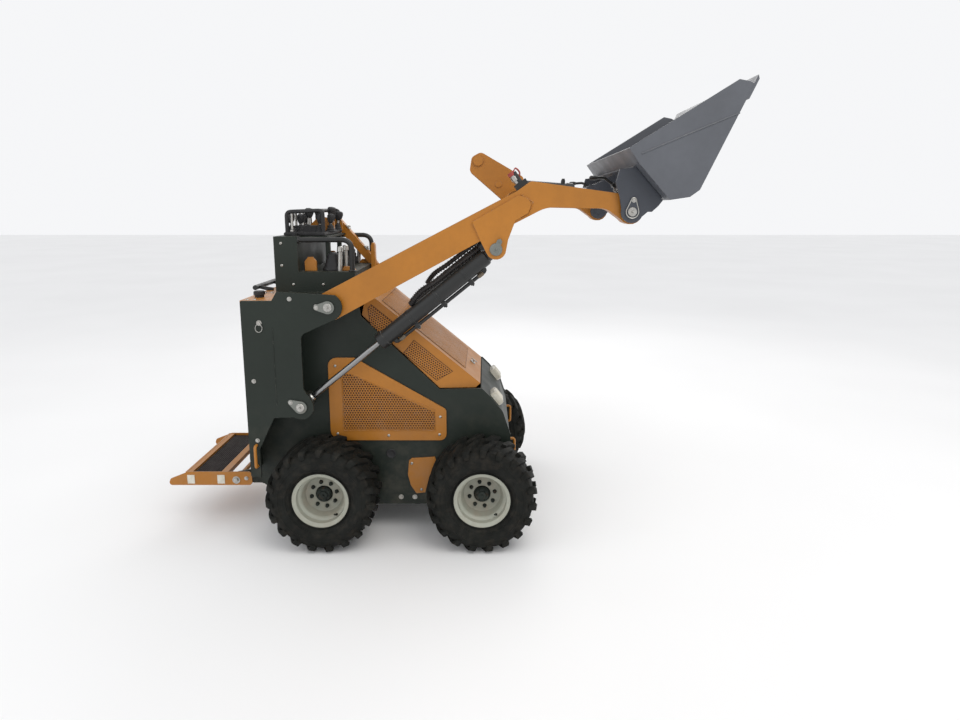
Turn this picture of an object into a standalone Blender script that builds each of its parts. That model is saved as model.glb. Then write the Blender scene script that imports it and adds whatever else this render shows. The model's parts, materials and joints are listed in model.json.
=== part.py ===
"""Stand-on mini skid steer loader, arms raised and bucket rolled back.

Metres. +X is forward, +Y is the machine's left, +Z is up. The origin is on the ground, midway between
the rear tip of the platform and the front tip of the bucket, in the middle of the machine's width.
Side views are outlines of (x, z) points, extruded along Y.
"""

from math import atan2, cos, pi, radians, sin, tan

import bmesh
import bpy
from mathutils import Matrix, Vector

# ---------------------------------------------------------------- driving dimensions
WHEELBASE = 0.655
FRONT_AXLE_X = 0.193
TYRE_RADIUS = 0.2285
TYRE_WIDTH = 0.215
BEAD_RADIUS = 0.106
RIM_WIDTH = 0.178
RIM_FLANGE_RADIUS = 0.118
RIM_FLANGE = 0.007
RIM_WALL = 0.007
RIM_DISC_OFFSET = 0.010
RIM_DISC = 0.008
RIM_DISC_FLAT = 0.074
RIM_CONE = 0.028
HUB_RADIUS = 0.060
HUB_BORE = 0.034

GROUND_CLEARANCE = 0.118
FRAME_HALF = 0.295
PLATE = 0.008
SHEET = 0.006
DECK_Z = 1.030
REAR_OVERHANG = 0.303
NOSE_OVERHANG = 0.118

ARM_PIVOT_Z = 1.010
ARM_PIVOT_AFT = 0.608
ARM_GAP = 0.040
ARM_WIDTH = 0.070
ARM_SLOT_GAP = 0.015
TOWER_PLATE = 0.010
TOWER_BOTTOM_Z = 0.300
GUSSET = 0.008
PIN_RADIUS = 0.0175
CROSS_TUBE_RADIUS = 0.040

LIFT_BARREL_RADIUS = 0.033
LIFT_ROD_RADIUS = 0.0125
LIFT_ROD_SHOWING = 0.407
LIFT_EYE_RADIUS = 0.030
TILT_BARREL_RADIUS = 0.027
TILT_ROD_RADIUS = 0.0125
TILT_ROD_SHOWING = 0.076
TILT_EYE_RADIUS = 0.024
TILT_EYE_HALF = 0.024

BUCKET_WIDTH = 1.000
BUCKET_WALL = 0.006
CUTTING_EDGE = 0.010
HITCH_PLATE = 0.010

HOOD_TOP_HALF = 0.250
HOOD_SIDE_LEAN = 0.27
HOOD_WALL = 0.005

CONSOLE_HALF = 0.250
CONSOLE_HEIGHT = 0.250
CONSOLE_LENGTH = 0.334

# Each control lever: forward of the console's rear face, across, height and forward lean of its tip.
LEVERS = (
    (0.050, -0.140, 0.085, -0.010), (0.100, -0.085, 0.105, 0.012), (0.140, -0.030, 0.100, 0.000),
    (0.170, 0.030, 0.110, 0.014), (0.120, 0.090, 0.098, -0.008), (0.180, 0.140, 0.090, 0.010),
)

PLATFORM_HALF = 0.250
PLATFORM_LENGTH = 0.372
PLATFORM_Z = 0.208
PLATFORM_SKIRT = 0.062

GAP = 0.0003
BORE_GAP = 0.0003
SIDE_GAP = 0.005
ROUND = 24
WHEEL_SIDES = 40

# ---------------------------------------------------------------- stations that follow from them
REAR_AXLE_X = FRONT_AXLE_X - WHEELBASE
AXLE_Z = TYRE_RADIUS
WHEEL_Y = FRAME_HALF + 0.010 + TYRE_WIDTH / 2
REAR_X = REAR_AXLE_X - REAR_OVERHANG
NOSE_X = FRONT_AXLE_X + NOSE_OVERHANG
ARM_INNER = FRAME_HALF + ARM_GAP
ARM_OUTER = ARM_INNER + ARM_WIDTH
ARM_Y = (ARM_INNER + ARM_OUTER) / 2
TOWER_INNER = ARM_OUTER + ARM_SLOT_GAP
TOWER_OUTER = TOWER_INNER + TOWER_PLATE
INSIDE = FRAME_HALF - PLATE

ARM_PIVOT = Vector((FRONT_AXLE_X - ARM_PIVOT_AFT, ARM_PIVOT_Z))
LIFT_FOOT = ARM_PIVOT + Vector((-0.127, -0.409))
LIFT_HEAD = ARM_PIVOT + Vector((0.663, 0.227))
BUCKET_PIVOT = ARM_PIVOT + Vector((1.185, 0.372))
CROSS_TUBE = ARM_PIVOT + Vector((0.745, 0.415))
TILT_FOOT = ARM_PIVOT + Vector((0.680, 0.490))
TILT_HEAD = BUCKET_PIVOT + Vector((-0.095, 0.088))
HOOD_FRONT = Vector((FRONT_AXLE_X - 0.008, 0.652))
HOOD_REAR = Vector((ARM_PIVOT.x + 0.120, DECK_Z + 0.022))
PLATFORM_PIVOT = Vector((REAR_X - 0.133, PLATFORM_Z))
CONSOLE_X = ARM_PIVOT.x - 0.259

ORANGE = ("orange_paint", (0.78, 0.36, 0.07), 0.45, 0.1)
BODY_GREY = ("dark_green_grey_paint", (0.05, 0.062, 0.058), 0.5, 0.1)
BUCKET_GREY = ("blue_grey_paint", (0.13, 0.14, 0.16), 0.55, 0.2)
BLACK = ("black_steel", (0.02, 0.021, 0.022), 0.45, 0.3)
PLASTIC = ("black_plastic", (0.025, 0.025, 0.027), 0.6, 0.0)
RUBBER = ("tyre_rubber", (0.03, 0.033, 0.031), 0.85, 0.0)
IVORY = ("ivory_paint", (0.55, 0.54, 0.48), 0.5, 0.1)
STEEL = ("bright_steel", (0.62, 0.62, 0.6), 0.25, 1.0)
LENS = ("lamp_lens", (0.75, 0.72, 0.62), 0.3, 0.0)
IRON = ("cast_iron", (0.09, 0.09, 0.09), 0.7, 0.6)
MAT = ("anti_slip_mat", (0.05, 0.045, 0.045), 0.9, 0.0)


# ---------------------------------------------------------------- shapes
def finish(name, bm):
    """A scene object from a bmesh, with its faces turned outwards."""
    bmesh.ops.remove_doubles(bm, verts=bm.verts, dist=1e-7)
    bmesh.ops.recalc_face_normals(bm, faces=bm.faces)
    mesh = bpy.data.meshes.new(name)
    bm.to_mesh(mesh)
    bm.free()
    obj = bpy.data.objects.new(name, mesh)
    bpy.context.scene.collection.objects.link(obj)
    return obj


def prism(outline, y0, y1):
    """An (x, z) outline extruded from y0 to y1."""
    bm = bmesh.new()
    face = bm.faces.new([bm.verts.new((x, y0, z)) for x, z in outline])
    grown = bmesh.ops.extrude_face_region(bm, geom=[face])["geom"]
    moved = [v for v in grown if isinstance(v, bmesh.types.BMVert)]
    bmesh.ops.translate(bm, verts=moved, vec=(0, y1 - y0, 0))
    return finish("prism", bm)


def side_prism(outline, side, inner, outer):
    """The same on one side of the machine: side is +1 for left, -1 for right."""
    return prism(outline, side * inner, side * outer)


def block(x0, x1, y0, y1, z0, z1):
    return prism([(x0, z0), (x1, z0), (x1, z1), (x0, z1)], y0, y1)


def turned(profile, origin, axis, sides=ROUND, hollow=False):
    """(distance along the axis, radius) points spun about the axis; hollow closes the profile on itself."""
    axis = Vector(axis).normalized()
    across = axis.orthogonal().normalized()
    up = axis.cross(across)
    bm = bmesh.new()
    rings = []
    for along, radius in profile:
        centre = Vector(origin) + axis * along
        if radius < 1e-6:
            rings.append([bm.verts.new(centre)] * sides)
            continue
        turns = (2 * pi * k / sides for k in range(sides))
        rings.append([bm.verts.new(centre + (across * cos(t) + up * sin(t)) * radius) for t in turns])
    pairs = list(zip(rings, rings[1:]))
    if hollow:
        pairs.append((rings[-1], rings[0]))
    for a, b in pairs:
        for k in range(sides):
            quad = [a[k], a[(k + 1) % sides], b[(k + 1) % sides], b[k]]
            corners = list(dict.fromkeys(quad))
            if len(corners) > 2:
                bm.faces.new(corners)
    return finish("turned", bm)


def rod(start, end, radius, sides=ROUND):
    start, end = Vector(start), Vector(end)
    length = (end - start).length
    return turned([(0, 0), (0, radius), (length, radius), (length, 0)], start, end - start, sides)


def cross_rod(centre, y0, y1, radius, sides=ROUND):
    """A round bar along Y at an (x, z) centre."""
    return rod((centre[0], y0, centre[1]), (centre[0], y1, centre[1]), radius, sides)


def pipe(points, radius, sides=12):
    """A round tube through 3-D points, with flat ends."""
    points = [Vector(p) for p in points]
    bm = bmesh.new()
    rings = []
    across = None
    for i, point in enumerate(points):
        before = (point - points[i - 1]).normalized() if i else (points[1] - point).normalized()
        after = (points[i + 1] - point).normalized() if i + 1 < len(points) else before
        along = (before + after).normalized()
        if across is None:
            across = along.orthogonal().normalized()
        across = (across - along * across.dot(along)).normalized()
        up = along.cross(across)
        turns = (2 * pi * k / sides for k in range(sides))
        rings.append([bm.verts.new(point + (across * cos(t) + up * sin(t)) * radius) for t in turns])
    for a, b in zip(rings, rings[1:]):
        for k in range(sides):
            bm.faces.new([a[k], a[(k + 1) % sides], b[(k + 1) % sides], b[k]])
    bm.faces.new(rings[0][::-1])
    bm.faces.new(rings[-1])
    return finish("pipe", bm)


def rounded(corners, steps=4):
    """An (x, z) outline whose corners may carry a radius: (x, z, radius)."""
    out = []
    for i, corner in enumerate(corners):
        here = Vector(corner[:2])
        if len(corner) < 3:
            out.append(tuple(here))
            continue
        radius = corner[2]
        before = (Vector(corners[i - 1][:2]) - here).normalized()
        after = (Vector(corners[(i + 1) % len(corners)][:2]) - here).normalized()
        half = before.angle(after) / 2
        middle = here + (before + after).normalized() * radius / sin(half)
        start = here + before * radius / tan(half) - middle
        end = here + after * radius / tan(half) - middle
        first = atan2(start.y, start.x)
        turn = (atan2(end.y, end.x) - first + pi) % (2 * pi) - pi
        for k in range(steps + 1):
            angle = first + turn * k / steps
            out.append((middle.x + radius * cos(angle), middle.y + radius * sin(angle)))
    return out


def arc(centre, radius, first, last, steps=8):
    """Points from angle first to last, in degrees, about an (x, z) centre."""
    angles = [radians(first + (last - first) * k / steps) for k in range(steps + 1)]
    return [(centre[0] + radius * cos(a), centre[1] + radius * sin(a)) for a in angles]


def bent_path(points, radius, steps=4):
    """3-D points with each inner corner rounded."""
    points = [Vector(p) for p in points]
    out = [points[0]]
    for before, here, after in zip(points, points[1:], points[2:]):
        a = (before - here).normalized()
        b = (after - here).normalized()
        half = a.angle(b) / 2
        reach = radius / tan(half)
        middle = here + (a + b).normalized() * radius / sin(half)
        start = here + a * reach - middle
        end = here + b * reach - middle
        turn = start.angle(end)
        for k in range(steps + 1):
            t = k / steps
            out.append(middle + (start * sin((1 - t) * turn) + end * sin(t * turn)) / sin(turn))
    out.append(points[-1])
    return out


def offset_path(path, distance):
    """An open (x, z) path moved sideways, to its left for a positive distance."""
    path = [Vector(p[:2]) for p in path]
    out = []
    for i, here in enumerate(path):
        runs = []
        if i:
            runs.append((here - path[i - 1]).normalized())
        if i + 1 < len(path):
            runs.append((path[i + 1] - here).normalized())
        normals = [Vector((-r.y, r.x)) for r in runs]
        middle = sum(normals, Vector((0, 0))).normalized()
        out.append(here + middle * distance / middle.dot(normals[0]))
    return out


def strip(path, thickness):
    """The outline of a bent sheet that follows a path, with its thickness on the path's left."""
    return [tuple(p) for p in path] + [tuple(p) for p in reversed(offset_path(path, thickness))]


def evaluated(obj):
    """Applies the modifiers on an object."""
    bpy.context.view_layer.update()
    graph = bpy.context.evaluated_depsgraph_get()
    mesh = bpy.data.meshes.new_from_object(obj.evaluated_get(graph))
    obj.modifiers.clear()
    bm = bmesh.new()
    bm.from_mesh(mesh)
    bmesh.ops.remove_doubles(bm, verts=bm.verts, dist=2e-6)
    bmesh.ops.dissolve_degenerate(bm, dist=1e-6, edges=bm.edges)
    bm.to_mesh(mesh)
    bm.free()
    obj.data = mesh
    return obj


def boolean(base, others, operation):
    for other in others:
        step = base.modifiers.new("shape", "BOOLEAN")
        step.operation = operation
        step.solver = "EXACT"
        step.object = other
        evaluated(base)
        bpy.data.objects.remove(other)
    return base


def fused(solids, cuts=()):
    """One solid from several that overlap, less the cuts."""
    base = boolean(solids[0], solids[1:], "UNION")
    return boolean(base, list(cuts), "DIFFERENCE")


def mirrored(obj):
    """The same solid on the other side of the machine."""
    bm = bmesh.new()
    bm.from_mesh(obj.data)
    bmesh.ops.scale(bm, verts=bm.verts, vec=(1, -1, 1))
    return finish("mirrored", bm)


# ---------------------------------------------------------------- nodes and pivots
def make_material(finish_values):
    name, colour, roughness, metallic = finish_values
    if name in bpy.data.materials:
        return bpy.data.materials[name]
    made = bpy.data.materials.new(name)
    made.use_nodes = True
    shader = made.node_tree.nodes["Principled BSDF"]
    shader.inputs["Base Color"].default_value = (*colour, 1)
    shader.inputs["Roughness"].default_value = roughness
    shader.inputs["Metallic"].default_value = metallic
    return made


def pivot(name, place, parent=None):
    """An empty on a joint's axis, which carries the pieces that turn about it."""
    empty = bpy.data.objects.new(name, None)
    bpy.context.scene.collection.objects.link(empty)
    empty.location = Vector(place) - (parent["place"] if parent else Vector())
    empty.parent = parent["empty"] if parent else None
    return {"empty": empty, "place": Vector(place)}


def node(name, obj, finish_values, carrier=None, smooth=30):
    """Names a solid, gives it its material and hangs it on its pivot."""
    obj.name = name
    obj.data.name = name
    obj.data.materials.clear()
    obj.data.materials.append(make_material(finish_values))
    obj.data.polygons.foreach_set("material_index", [0] * len(obj.data.polygons))
    if carrier:
        obj.data.transform(Matrix.Translation(-carrier["place"]))
        obj.parent = carrier["empty"]
    obj.data.shade_smooth()
    obj.data.set_sharp_from_angle(angle=radians(smooth))
    return obj


SIDES = (("left", 1), ("right", -1))


# ---------------------------------------------------------------- wheels and their drives
def tyre(place):
    """A closed ring: bead, bulged sidewall, round shoulder and flat tread."""
    bead_half = RIM_WIDTH / 2 - RIM_FLANGE - GAP
    half = TYRE_WIDTH / 2
    edge = [
        (bead_half, BEAD_RADIUS),
        (bead_half, RIM_FLANGE_RADIUS + 0.001),
        (bead_half + 0.010, RIM_FLANGE_RADIUS + 0.012),
        (half, RIM_FLANGE_RADIUS + 0.45 * (TYRE_RADIUS - RIM_FLANGE_RADIUS)),
        (half - 0.004, TYRE_RADIUS - 0.026),
        (half - 0.016, TYRE_RADIUS - 0.007),
        (half - 0.034, TYRE_RADIUS),
    ]
    profile = [(-y, r) for y, r in edge] + [(y, r) for y, r in reversed(edge)]
    return turned(profile, place, (0, 1, 0), WHEEL_SIDES, hollow=True)


def rim(place, side):
    """A drop-centre rim: two flanges, a barrel and a deep disc, flat round its bore and coned at its edge."""
    half = RIM_WIDTH / 2
    outer = BEAD_RADIUS - GAP
    barrel = [
        (-half, outer - RIM_WALL), (-half, RIM_FLANGE_RADIUS), (-half + RIM_FLANGE, RIM_FLANGE_RADIUS),
        (-half + RIM_FLANGE, outer), (half - RIM_FLANGE, outer), (half - RIM_FLANGE, RIM_FLANGE_RADIUS),
        (half, RIM_FLANGE_RADIUS), (half, outer - RIM_WALL),
    ]
    axis = (0, side, 0)
    ring = turned(barrel, place, axis, WHEEL_SIDES, hollow=True)
    reach = outer - RIM_WALL / 2
    back = [(RIM_DISC_OFFSET, HUB_BORE), (RIM_DISC_OFFSET, RIM_DISC_FLAT), (RIM_DISC_OFFSET + RIM_CONE, reach)]
    front = [(along + RIM_DISC, radius) for along, radius in reversed(back)]
    disc = turned([*back, *front], place, axis, WHEEL_SIDES, hollow=True)
    return fused([ring, disc])


def hub(place, side):
    """The turning flange of the wheel drive, behind the rim's disc, with its boss in the disc's bore."""
    foot = FRAME_HALF + 0.010 - WHEEL_Y
    face = RIM_DISC_OFFSET - GAP
    boss = HUB_BORE - 0.001
    return turned(
        [(foot, 0), (foot, 0.040), (face - 0.014, 0.040), (face - 0.014, HUB_RADIUS), (face, HUB_RADIUS),
         (face, boss), (face + 0.016, boss), (face + 0.020, boss - 0.004), (face + 0.020, 0)],
        place, (0, side, 0), ROUND)


def drive(place, side):
    """The fixed motor housing inside the frame, its neck through the side plate and its outer collar."""
    start = 0.170
    axle = Vector((place[0], 0, place[2]))
    collar_end = FRAME_HALF + 0.010 - GAP
    return turned(
        [(start, 0), (start, 0.055), (INSIDE - GAP, 0.055), (INSIDE - GAP, 0.030),
         (FRAME_HALF + GAP, 0.030), (FRAME_HALF + GAP, 0.048), (collar_end, 0.048), (collar_end, 0)],
        axle, (0, side, 0), ROUND)


def make_wheels():
    for end, x in (("front", FRONT_AXLE_X), ("rear", REAR_AXLE_X)):
        for name, side in SIDES:
            place = Vector((x, side * WHEEL_Y, AXLE_Z))
            axle = pivot(f"wheel_{end}_{name}_axle", place)
            node(f"tyre_{end}_{name}", tyre(place), RUBBER, axle, 40)
            node(f"rim_{end}_{name}", rim(place, side), IVORY, axle)
            node(f"hub_{end}_{name}", hub(place, side), IRON, axle)
            node(f"wheel_drive_{end}_{name}", drive(place, side), IRON)


# ---------------------------------------------------------------- hood outline, shared with the frame
def hood_corners():
    """Front lip, front top, rear top, rear foot and the bend of the lower edge."""
    rear_foot = HOOD_REAR + Vector((-0.017, -0.098))
    bend = Vector((FRONT_AXLE_X - 0.181, HOOD_FRONT.y - 0.012))
    lip = HOOD_FRONT + Vector((-0.020, -0.017))
    return lip, HOOD_FRONT, HOOD_REAR, rear_foot, bend


def nose_path():
    """The bent nose sheet, from under the hood's front edge down to the belly."""
    x, z = HOOD_FRONT
    return [
        (x + 0.004, z - 0.014), (x + 0.040, z - 0.050), (x + 0.093, z - 0.116),
        (NOSE_X, z - 0.216), (NOSE_X, GROUND_CLEARANCE + 0.110), (NOSE_X - 0.060, GROUND_CLEARANCE + 0.012),
    ]


# ---------------------------------------------------------------- frame and body
def side_outline():
    *_, rear_foot, bend = hood_corners()
    nose = offset_path(nose_path(), 0.004)
    return [
        (REAR_X + SHEET + GAP, GROUND_CLEARANCE + 0.095),
        (REAR_X + 0.125, GROUND_CLEARANCE),
        (nose[-1].x, GROUND_CLEARANCE),
        *[tuple(p) for p in reversed(nose)],
        (bend.x, bend.y - 0.002),
        (rear_foot.x, rear_foot.y - 0.002),
        (rear_foot.x - 0.010, DECK_Z),
        (REAR_X + SHEET + GAP, DECK_Z),
    ]


def make_frame():
    """Two side plates on a belly plate, with cross members, drive holes and the lift cylinders' inner bosses."""
    solids, cuts = [], []
    outline = side_outline()
    front_member = nose_path()[-1][0] - 0.020
    belly = block(REAR_X + 0.135, front_member, -INSIDE - 0.002, INSIDE + 0.002,
                  GROUND_CLEARANCE + 0.0005, GROUND_CLEARANCE + PLATE)
    solids.append(belly)
    for _, side in SIDES:
        solids.append(side_prism(outline, side, INSIDE, FRAME_HALF))
        solids.append(cross_rod(LIFT_FOOT, side * (INSIDE + 0.001), side * (ARM_INNER + SIDE_GAP - 0.0005), 0.030))
        cuts.append(cross_rod(ARM_PIVOT, side * (INSIDE - 0.01), side * (FRAME_HALF + 0.01),
                              PIN_RADIUS + BORE_GAP))
        for x in (FRONT_AXLE_X, REAR_AXLE_X):
            cuts.append(cross_rod((x, AXLE_Z), side * (INSIDE - 0.01), side * (FRAME_HALF + 0.01),
                                  0.030 + BORE_GAP))
    lip = hood_corners()[0]
    members = [
        (lip.x - 0.035, lip.x - 0.005, lip.y - 0.040, lip.y - GAP - 0.0005),
        (HOOD_REAR.x - 0.060, HOOD_REAR.x - 0.030, DECK_Z - 0.060, DECK_Z - 0.002),
        (REAR_X + 0.150, REAR_X + 0.180, DECK_Z - 0.060, DECK_Z - 0.002),
        (REAR_X + 0.150, REAR_X + 0.158, GROUND_CLEARANCE + 0.004, GROUND_CLEARANCE + 0.300),
    ]
    for x0, x1, z0, z1 in members:
        solids.append(block(x0, x1, -INSIDE - 0.002, INSIDE + 0.002, z0, z1))
    node("main_frame", fused(solids, cuts), BODY_GREY)


def tower_outline():
    """The outer plate: a round ear at the arm's pivot, a lobe at the lift cylinder's foot and a leg
    behind the rear wheel."""
    back = REAR_X + SHEET + GAP
    leg = REAR_AXLE_X - TYRE_RADIUS - 0.028
    px, pz = ARM_PIVOT
    fx, fz = LIFT_FOOT
    return [
        (back, TOWER_BOTTOM_Z), (leg, TOWER_BOTTOM_Z), (leg, fz - 0.180), (fx - 0.110, fz - 0.045),
        *arc(LIFT_FOOT, 0.052, 235, 385),
        *rounded([(fx + 0.047, fz + 0.022), (fx + 0.014, fz + 0.075, 0.02), (fx + 0.014, pz - 0.110, 0.03),
                  (px + 0.010, pz - 0.062)])[1:-1],
        *arc(ARM_PIVOT, 0.056, 280, 420),
        (px - 0.200, pz + 0.062), (px - 0.222, DECK_Z + 0.006), (back, DECK_Z + 0.006),
    ]


def make_towers():
    """Each tower is the outer plate and the web that joins it to the frame behind the arm."""
    outline = tower_outline()
    web_x = LIFT_FOOT.x - 0.085
    for name, side in SIDES:
        plate = side_prism(outline, side, TOWER_INNER, TOWER_OUTER)
        web = prism([(web_x, LIFT_FOOT.y - 0.030), (web_x + PLATE, LIFT_FOOT.y - 0.030),
                     (web_x + PLATE, DECK_Z - 0.004), (web_x, DECK_Z - 0.004)],
                    side * (FRAME_HALF + GAP), side * (TOWER_INNER + 0.002))
        cuts = [
            cross_rod(ARM_PIVOT, side * (TOWER_INNER - 0.01), side * (TOWER_OUTER + 0.01), PIN_RADIUS + BORE_GAP),
            cross_rod(LIFT_FOOT, side * (TOWER_INNER - 0.01), side * (TOWER_OUTER + 0.01), PIN_RADIUS + BORE_GAP),
        ]
        node(f"tower_plate_{name}", fused([plate, web], cuts), BODY_GREY)


def keeper_head(centre, side, angle):
    """A round pin head with a drop-shaped keeper tab at an angle."""
    direction = Vector((cos(radians(angle)), sin(radians(angle))))
    tip = Vector(centre) + direction * 0.044
    outline = arc(centre, 0.026, angle + 60, angle + 300, 12) + arc(tip, 0.011, angle - 60, angle + 60, 5)
    return side_prism(outline, side, TOWER_OUTER + GAP, TOWER_OUTER + GAP + 0.006)


def make_pins():
    head_end = TOWER_OUTER + GAP + 0.003
    for name, side in SIDES:
        long_pin = cross_rod(ARM_PIVOT, side * (INSIDE + 0.001), side * head_end, PIN_RADIUS)
        node(f"arm_pivot_pin_{name}", fused([keeper_head(ARM_PIVOT, side, 180), long_pin]), STEEL)
        short = cross_rod(LIFT_FOOT, side * (ARM_OUTER - SIDE_GAP + 0.0005), side * head_end, PIN_RADIUS)
        node(f"lift_foot_pin_{name}", fused([keeper_head(LIFT_FOOT, side, 150), short]), STEEL)


def make_rear_body():
    """The flat rear panel, the top deck with its filler cap, and the grab bar across the rear."""
    panel = prism([(REAR_X, GROUND_CLEARANCE + 0.095), (REAR_X + SHEET, GROUND_CLEARANCE + 0.095),
                   (REAR_X + SHEET, DECK_Z), (REAR_X, DECK_Z)], -TOWER_INNER, TOWER_INNER)
    notches = [block(REAR_X - 0.01, REAR_X + 0.02, side * (FRAME_HALF + GAP), side * (TOWER_OUTER + 0.01),
                     GROUND_CLEARANCE, TOWER_BOTTOM_Z) for _, side in SIDES]
    boolean(panel, notches, "DIFFERENCE")
    px, pz = PLATFORM_PIVOT
    arm = rounded([(REAR_X + 0.002, pz - 0.034), (REAR_X + 0.002, pz + 0.060), (px + 0.060, pz + 0.030, 0.010),
                   (px - 0.020, pz + 0.015, 0.010), (px - 0.020, pz - 0.015, 0.010), (px + 0.060, pz - 0.034, 0.010)])
    brackets = [side_prism(arm, side, 0.190, 0.202) for _, side in SIDES]
    hole = cross_rod(PLATFORM_PIVOT, -0.21, 0.21, 0.010 + BORE_GAP, 16)
    node("rear_panel", fused([panel, *brackets], [hole]), BODY_GREY)
    deck_front = CONSOLE_X + 0.050
    deck = block(REAR_X, deck_front, -(TOWER_INNER - GAP), TOWER_INNER - GAP, DECK_Z + GAP, DECK_Z + GAP + SHEET)
    node("rear_deck", deck, ORANGE)
    cap = Vector((REAR_X + 0.045, -0.320, DECK_Z + SHEET + 2 * GAP))
    node("filler_cap", turned([(0, 0), (0, 0.018), (0.010, 0.018), (0.010, 0.024), (0.026, 0.022), (0.026, 0)],
                              cap, (0, 0, 1), 20), PLASTIC)
    bar_x, bar_z, half = REAR_X - 0.038, DECK_Z + 0.022, 0.135
    bar = cross_rod((bar_x, bar_z), -half, half, 0.011, 16)
    stays = [prism([(bar_x, bar_z - 0.006), (bar_x, bar_z + 0.006), (REAR_X + 0.030, DECK_Z + 0.018),
                    (REAR_X + 0.030, DECK_Z + SHEET + 2 * GAP), (REAR_X - 0.004, DECK_Z + SHEET + 2 * GAP)],
                   y, y + 0.008) for y in (-0.100, 0.092)]
    node("rear_grab_bar", fused([bar, *stays]), BLACK)


def make_nose():
    path = nose_path()
    sheet = prism(strip(path, -SHEET), -(INSIDE - GAP), INSIDE - GAP)
    node("nose_plate", sheet, BODY_GREY)
    a, b = Vector(path[1]), Vector(path[2])
    along = (b - a).normalized()
    out = Vector((-along.y, along.x))
    foot = a + along * 0.004 + out * GAP
    lamp = [foot, foot + along * 0.066, foot + along * 0.066 + out * 0.028, foot + out * 0.028]
    for name, side in SIDES:
        body = side_prism([tuple(p) for p in lamp], side, 0.160, 0.250)
        node(f"work_light_{name}", body, LENS)


def make_engine():
    """The engine and pump as one plain block on the belly plate."""
    x0 = REAR_AXLE_X + 0.130
    x1 = FRONT_AXLE_X - 0.100
    body = block(x0, x1, -0.200, 0.200, GROUND_CLEARANCE + PLATE + GAP, 0.600)
    node("engine_block", body, IRON)


def panel_outline():
    """The mesh side panel: level bottom, upright rear edge, front top edge sloped like the hood."""
    x0, x1 = LIFT_FOOT.x + 0.085, FRONT_AXLE_X - 0.153
    z0, z1, z2 = 0.412, 0.560, 0.776
    return [(x0, z0, 0.045), (x1, z0, 0.028), (x1, z1 - 0.01, 0.020), (x0 + 0.112, z2, 0.020), (x0, z2, 0.035)]


def make_side_panels():
    outline = panel_outline()
    window = [(outline[0][0] + 0.058, outline[0][1] + 0.046), (outline[1][0] - 0.050, outline[1][1] + 0.046),
              (outline[2][0] - 0.050, outline[2][1] - 0.012), (outline[3][0] - 0.018, outline[3][1] - 0.072),
              (outline[0][0] + 0.058, outline[3][1] - 0.072)]
    for name, side in SIDES:
        panel = side_prism(rounded(outline), side, FRAME_HALF + GAP, FRAME_HALF + GAP + SHEET)
        recess = side_prism(window, side, FRAME_HALF + GAP + SHEET / 2, FRAME_HALF + 0.02)
        node(f"side_panel_{name}", boolean(panel, [recess], "DIFFERENCE"), ORANGE)


def hood_solid(walls, opening, inset):
    """The hood's block: its side view extruded, then cut by the two leaning sides."""
    half = HOOD_TOP_HALF + 0.2
    solid = prism([tuple(p) for p in [*walls, *opening]], -half, half)
    _, front, rear, *_ = hood_corners()
    slope = (front - rear).normalized()
    down = Vector((slope.y, -slope.x))
    if down.y > 0:
        down = -down
    bm = bmesh.new()
    bm.from_mesh(solid.data)
    for _, side in SIDES:
        point = Vector((front.x, side * (HOOD_TOP_HALF - inset), front.y))
        normal = Vector((-down.x * HOOD_SIDE_LEAN, side, -down.y * HOOD_SIDE_LEAN)).normalized()
        everything = [*bm.verts, *bm.edges, *bm.faces]
        cut = bmesh.ops.bisect_plane(bm, geom=everything, plane_co=point, plane_no=normal, clear_outer=True)
        edges = [e for e in cut["geom_cut"] if isinstance(e, bmesh.types.BMEdge)]
        bmesh.ops.contextual_create(bm, geom=edges)
    bpy.data.objects.remove(solid)
    return finish("hood", bm)


def make_hood(carrier):
    lip, front, rear, rear_foot, bend = hood_corners()
    walls = [lip, front, rear, rear_foot]
    outer = hood_solid(walls, [bend], 0)
    inner_path = offset_path(walls, HOOD_WALL)
    away = Vector((-0.6, -0.8)) * 0.15
    inner = hood_solid(inner_path, [inner_path[-1] + away, inner_path[0] + away], HOOD_WALL)
    node("hood", boolean(outer, [inner], "DIFFERENCE"), ORANGE, carrier)


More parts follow.
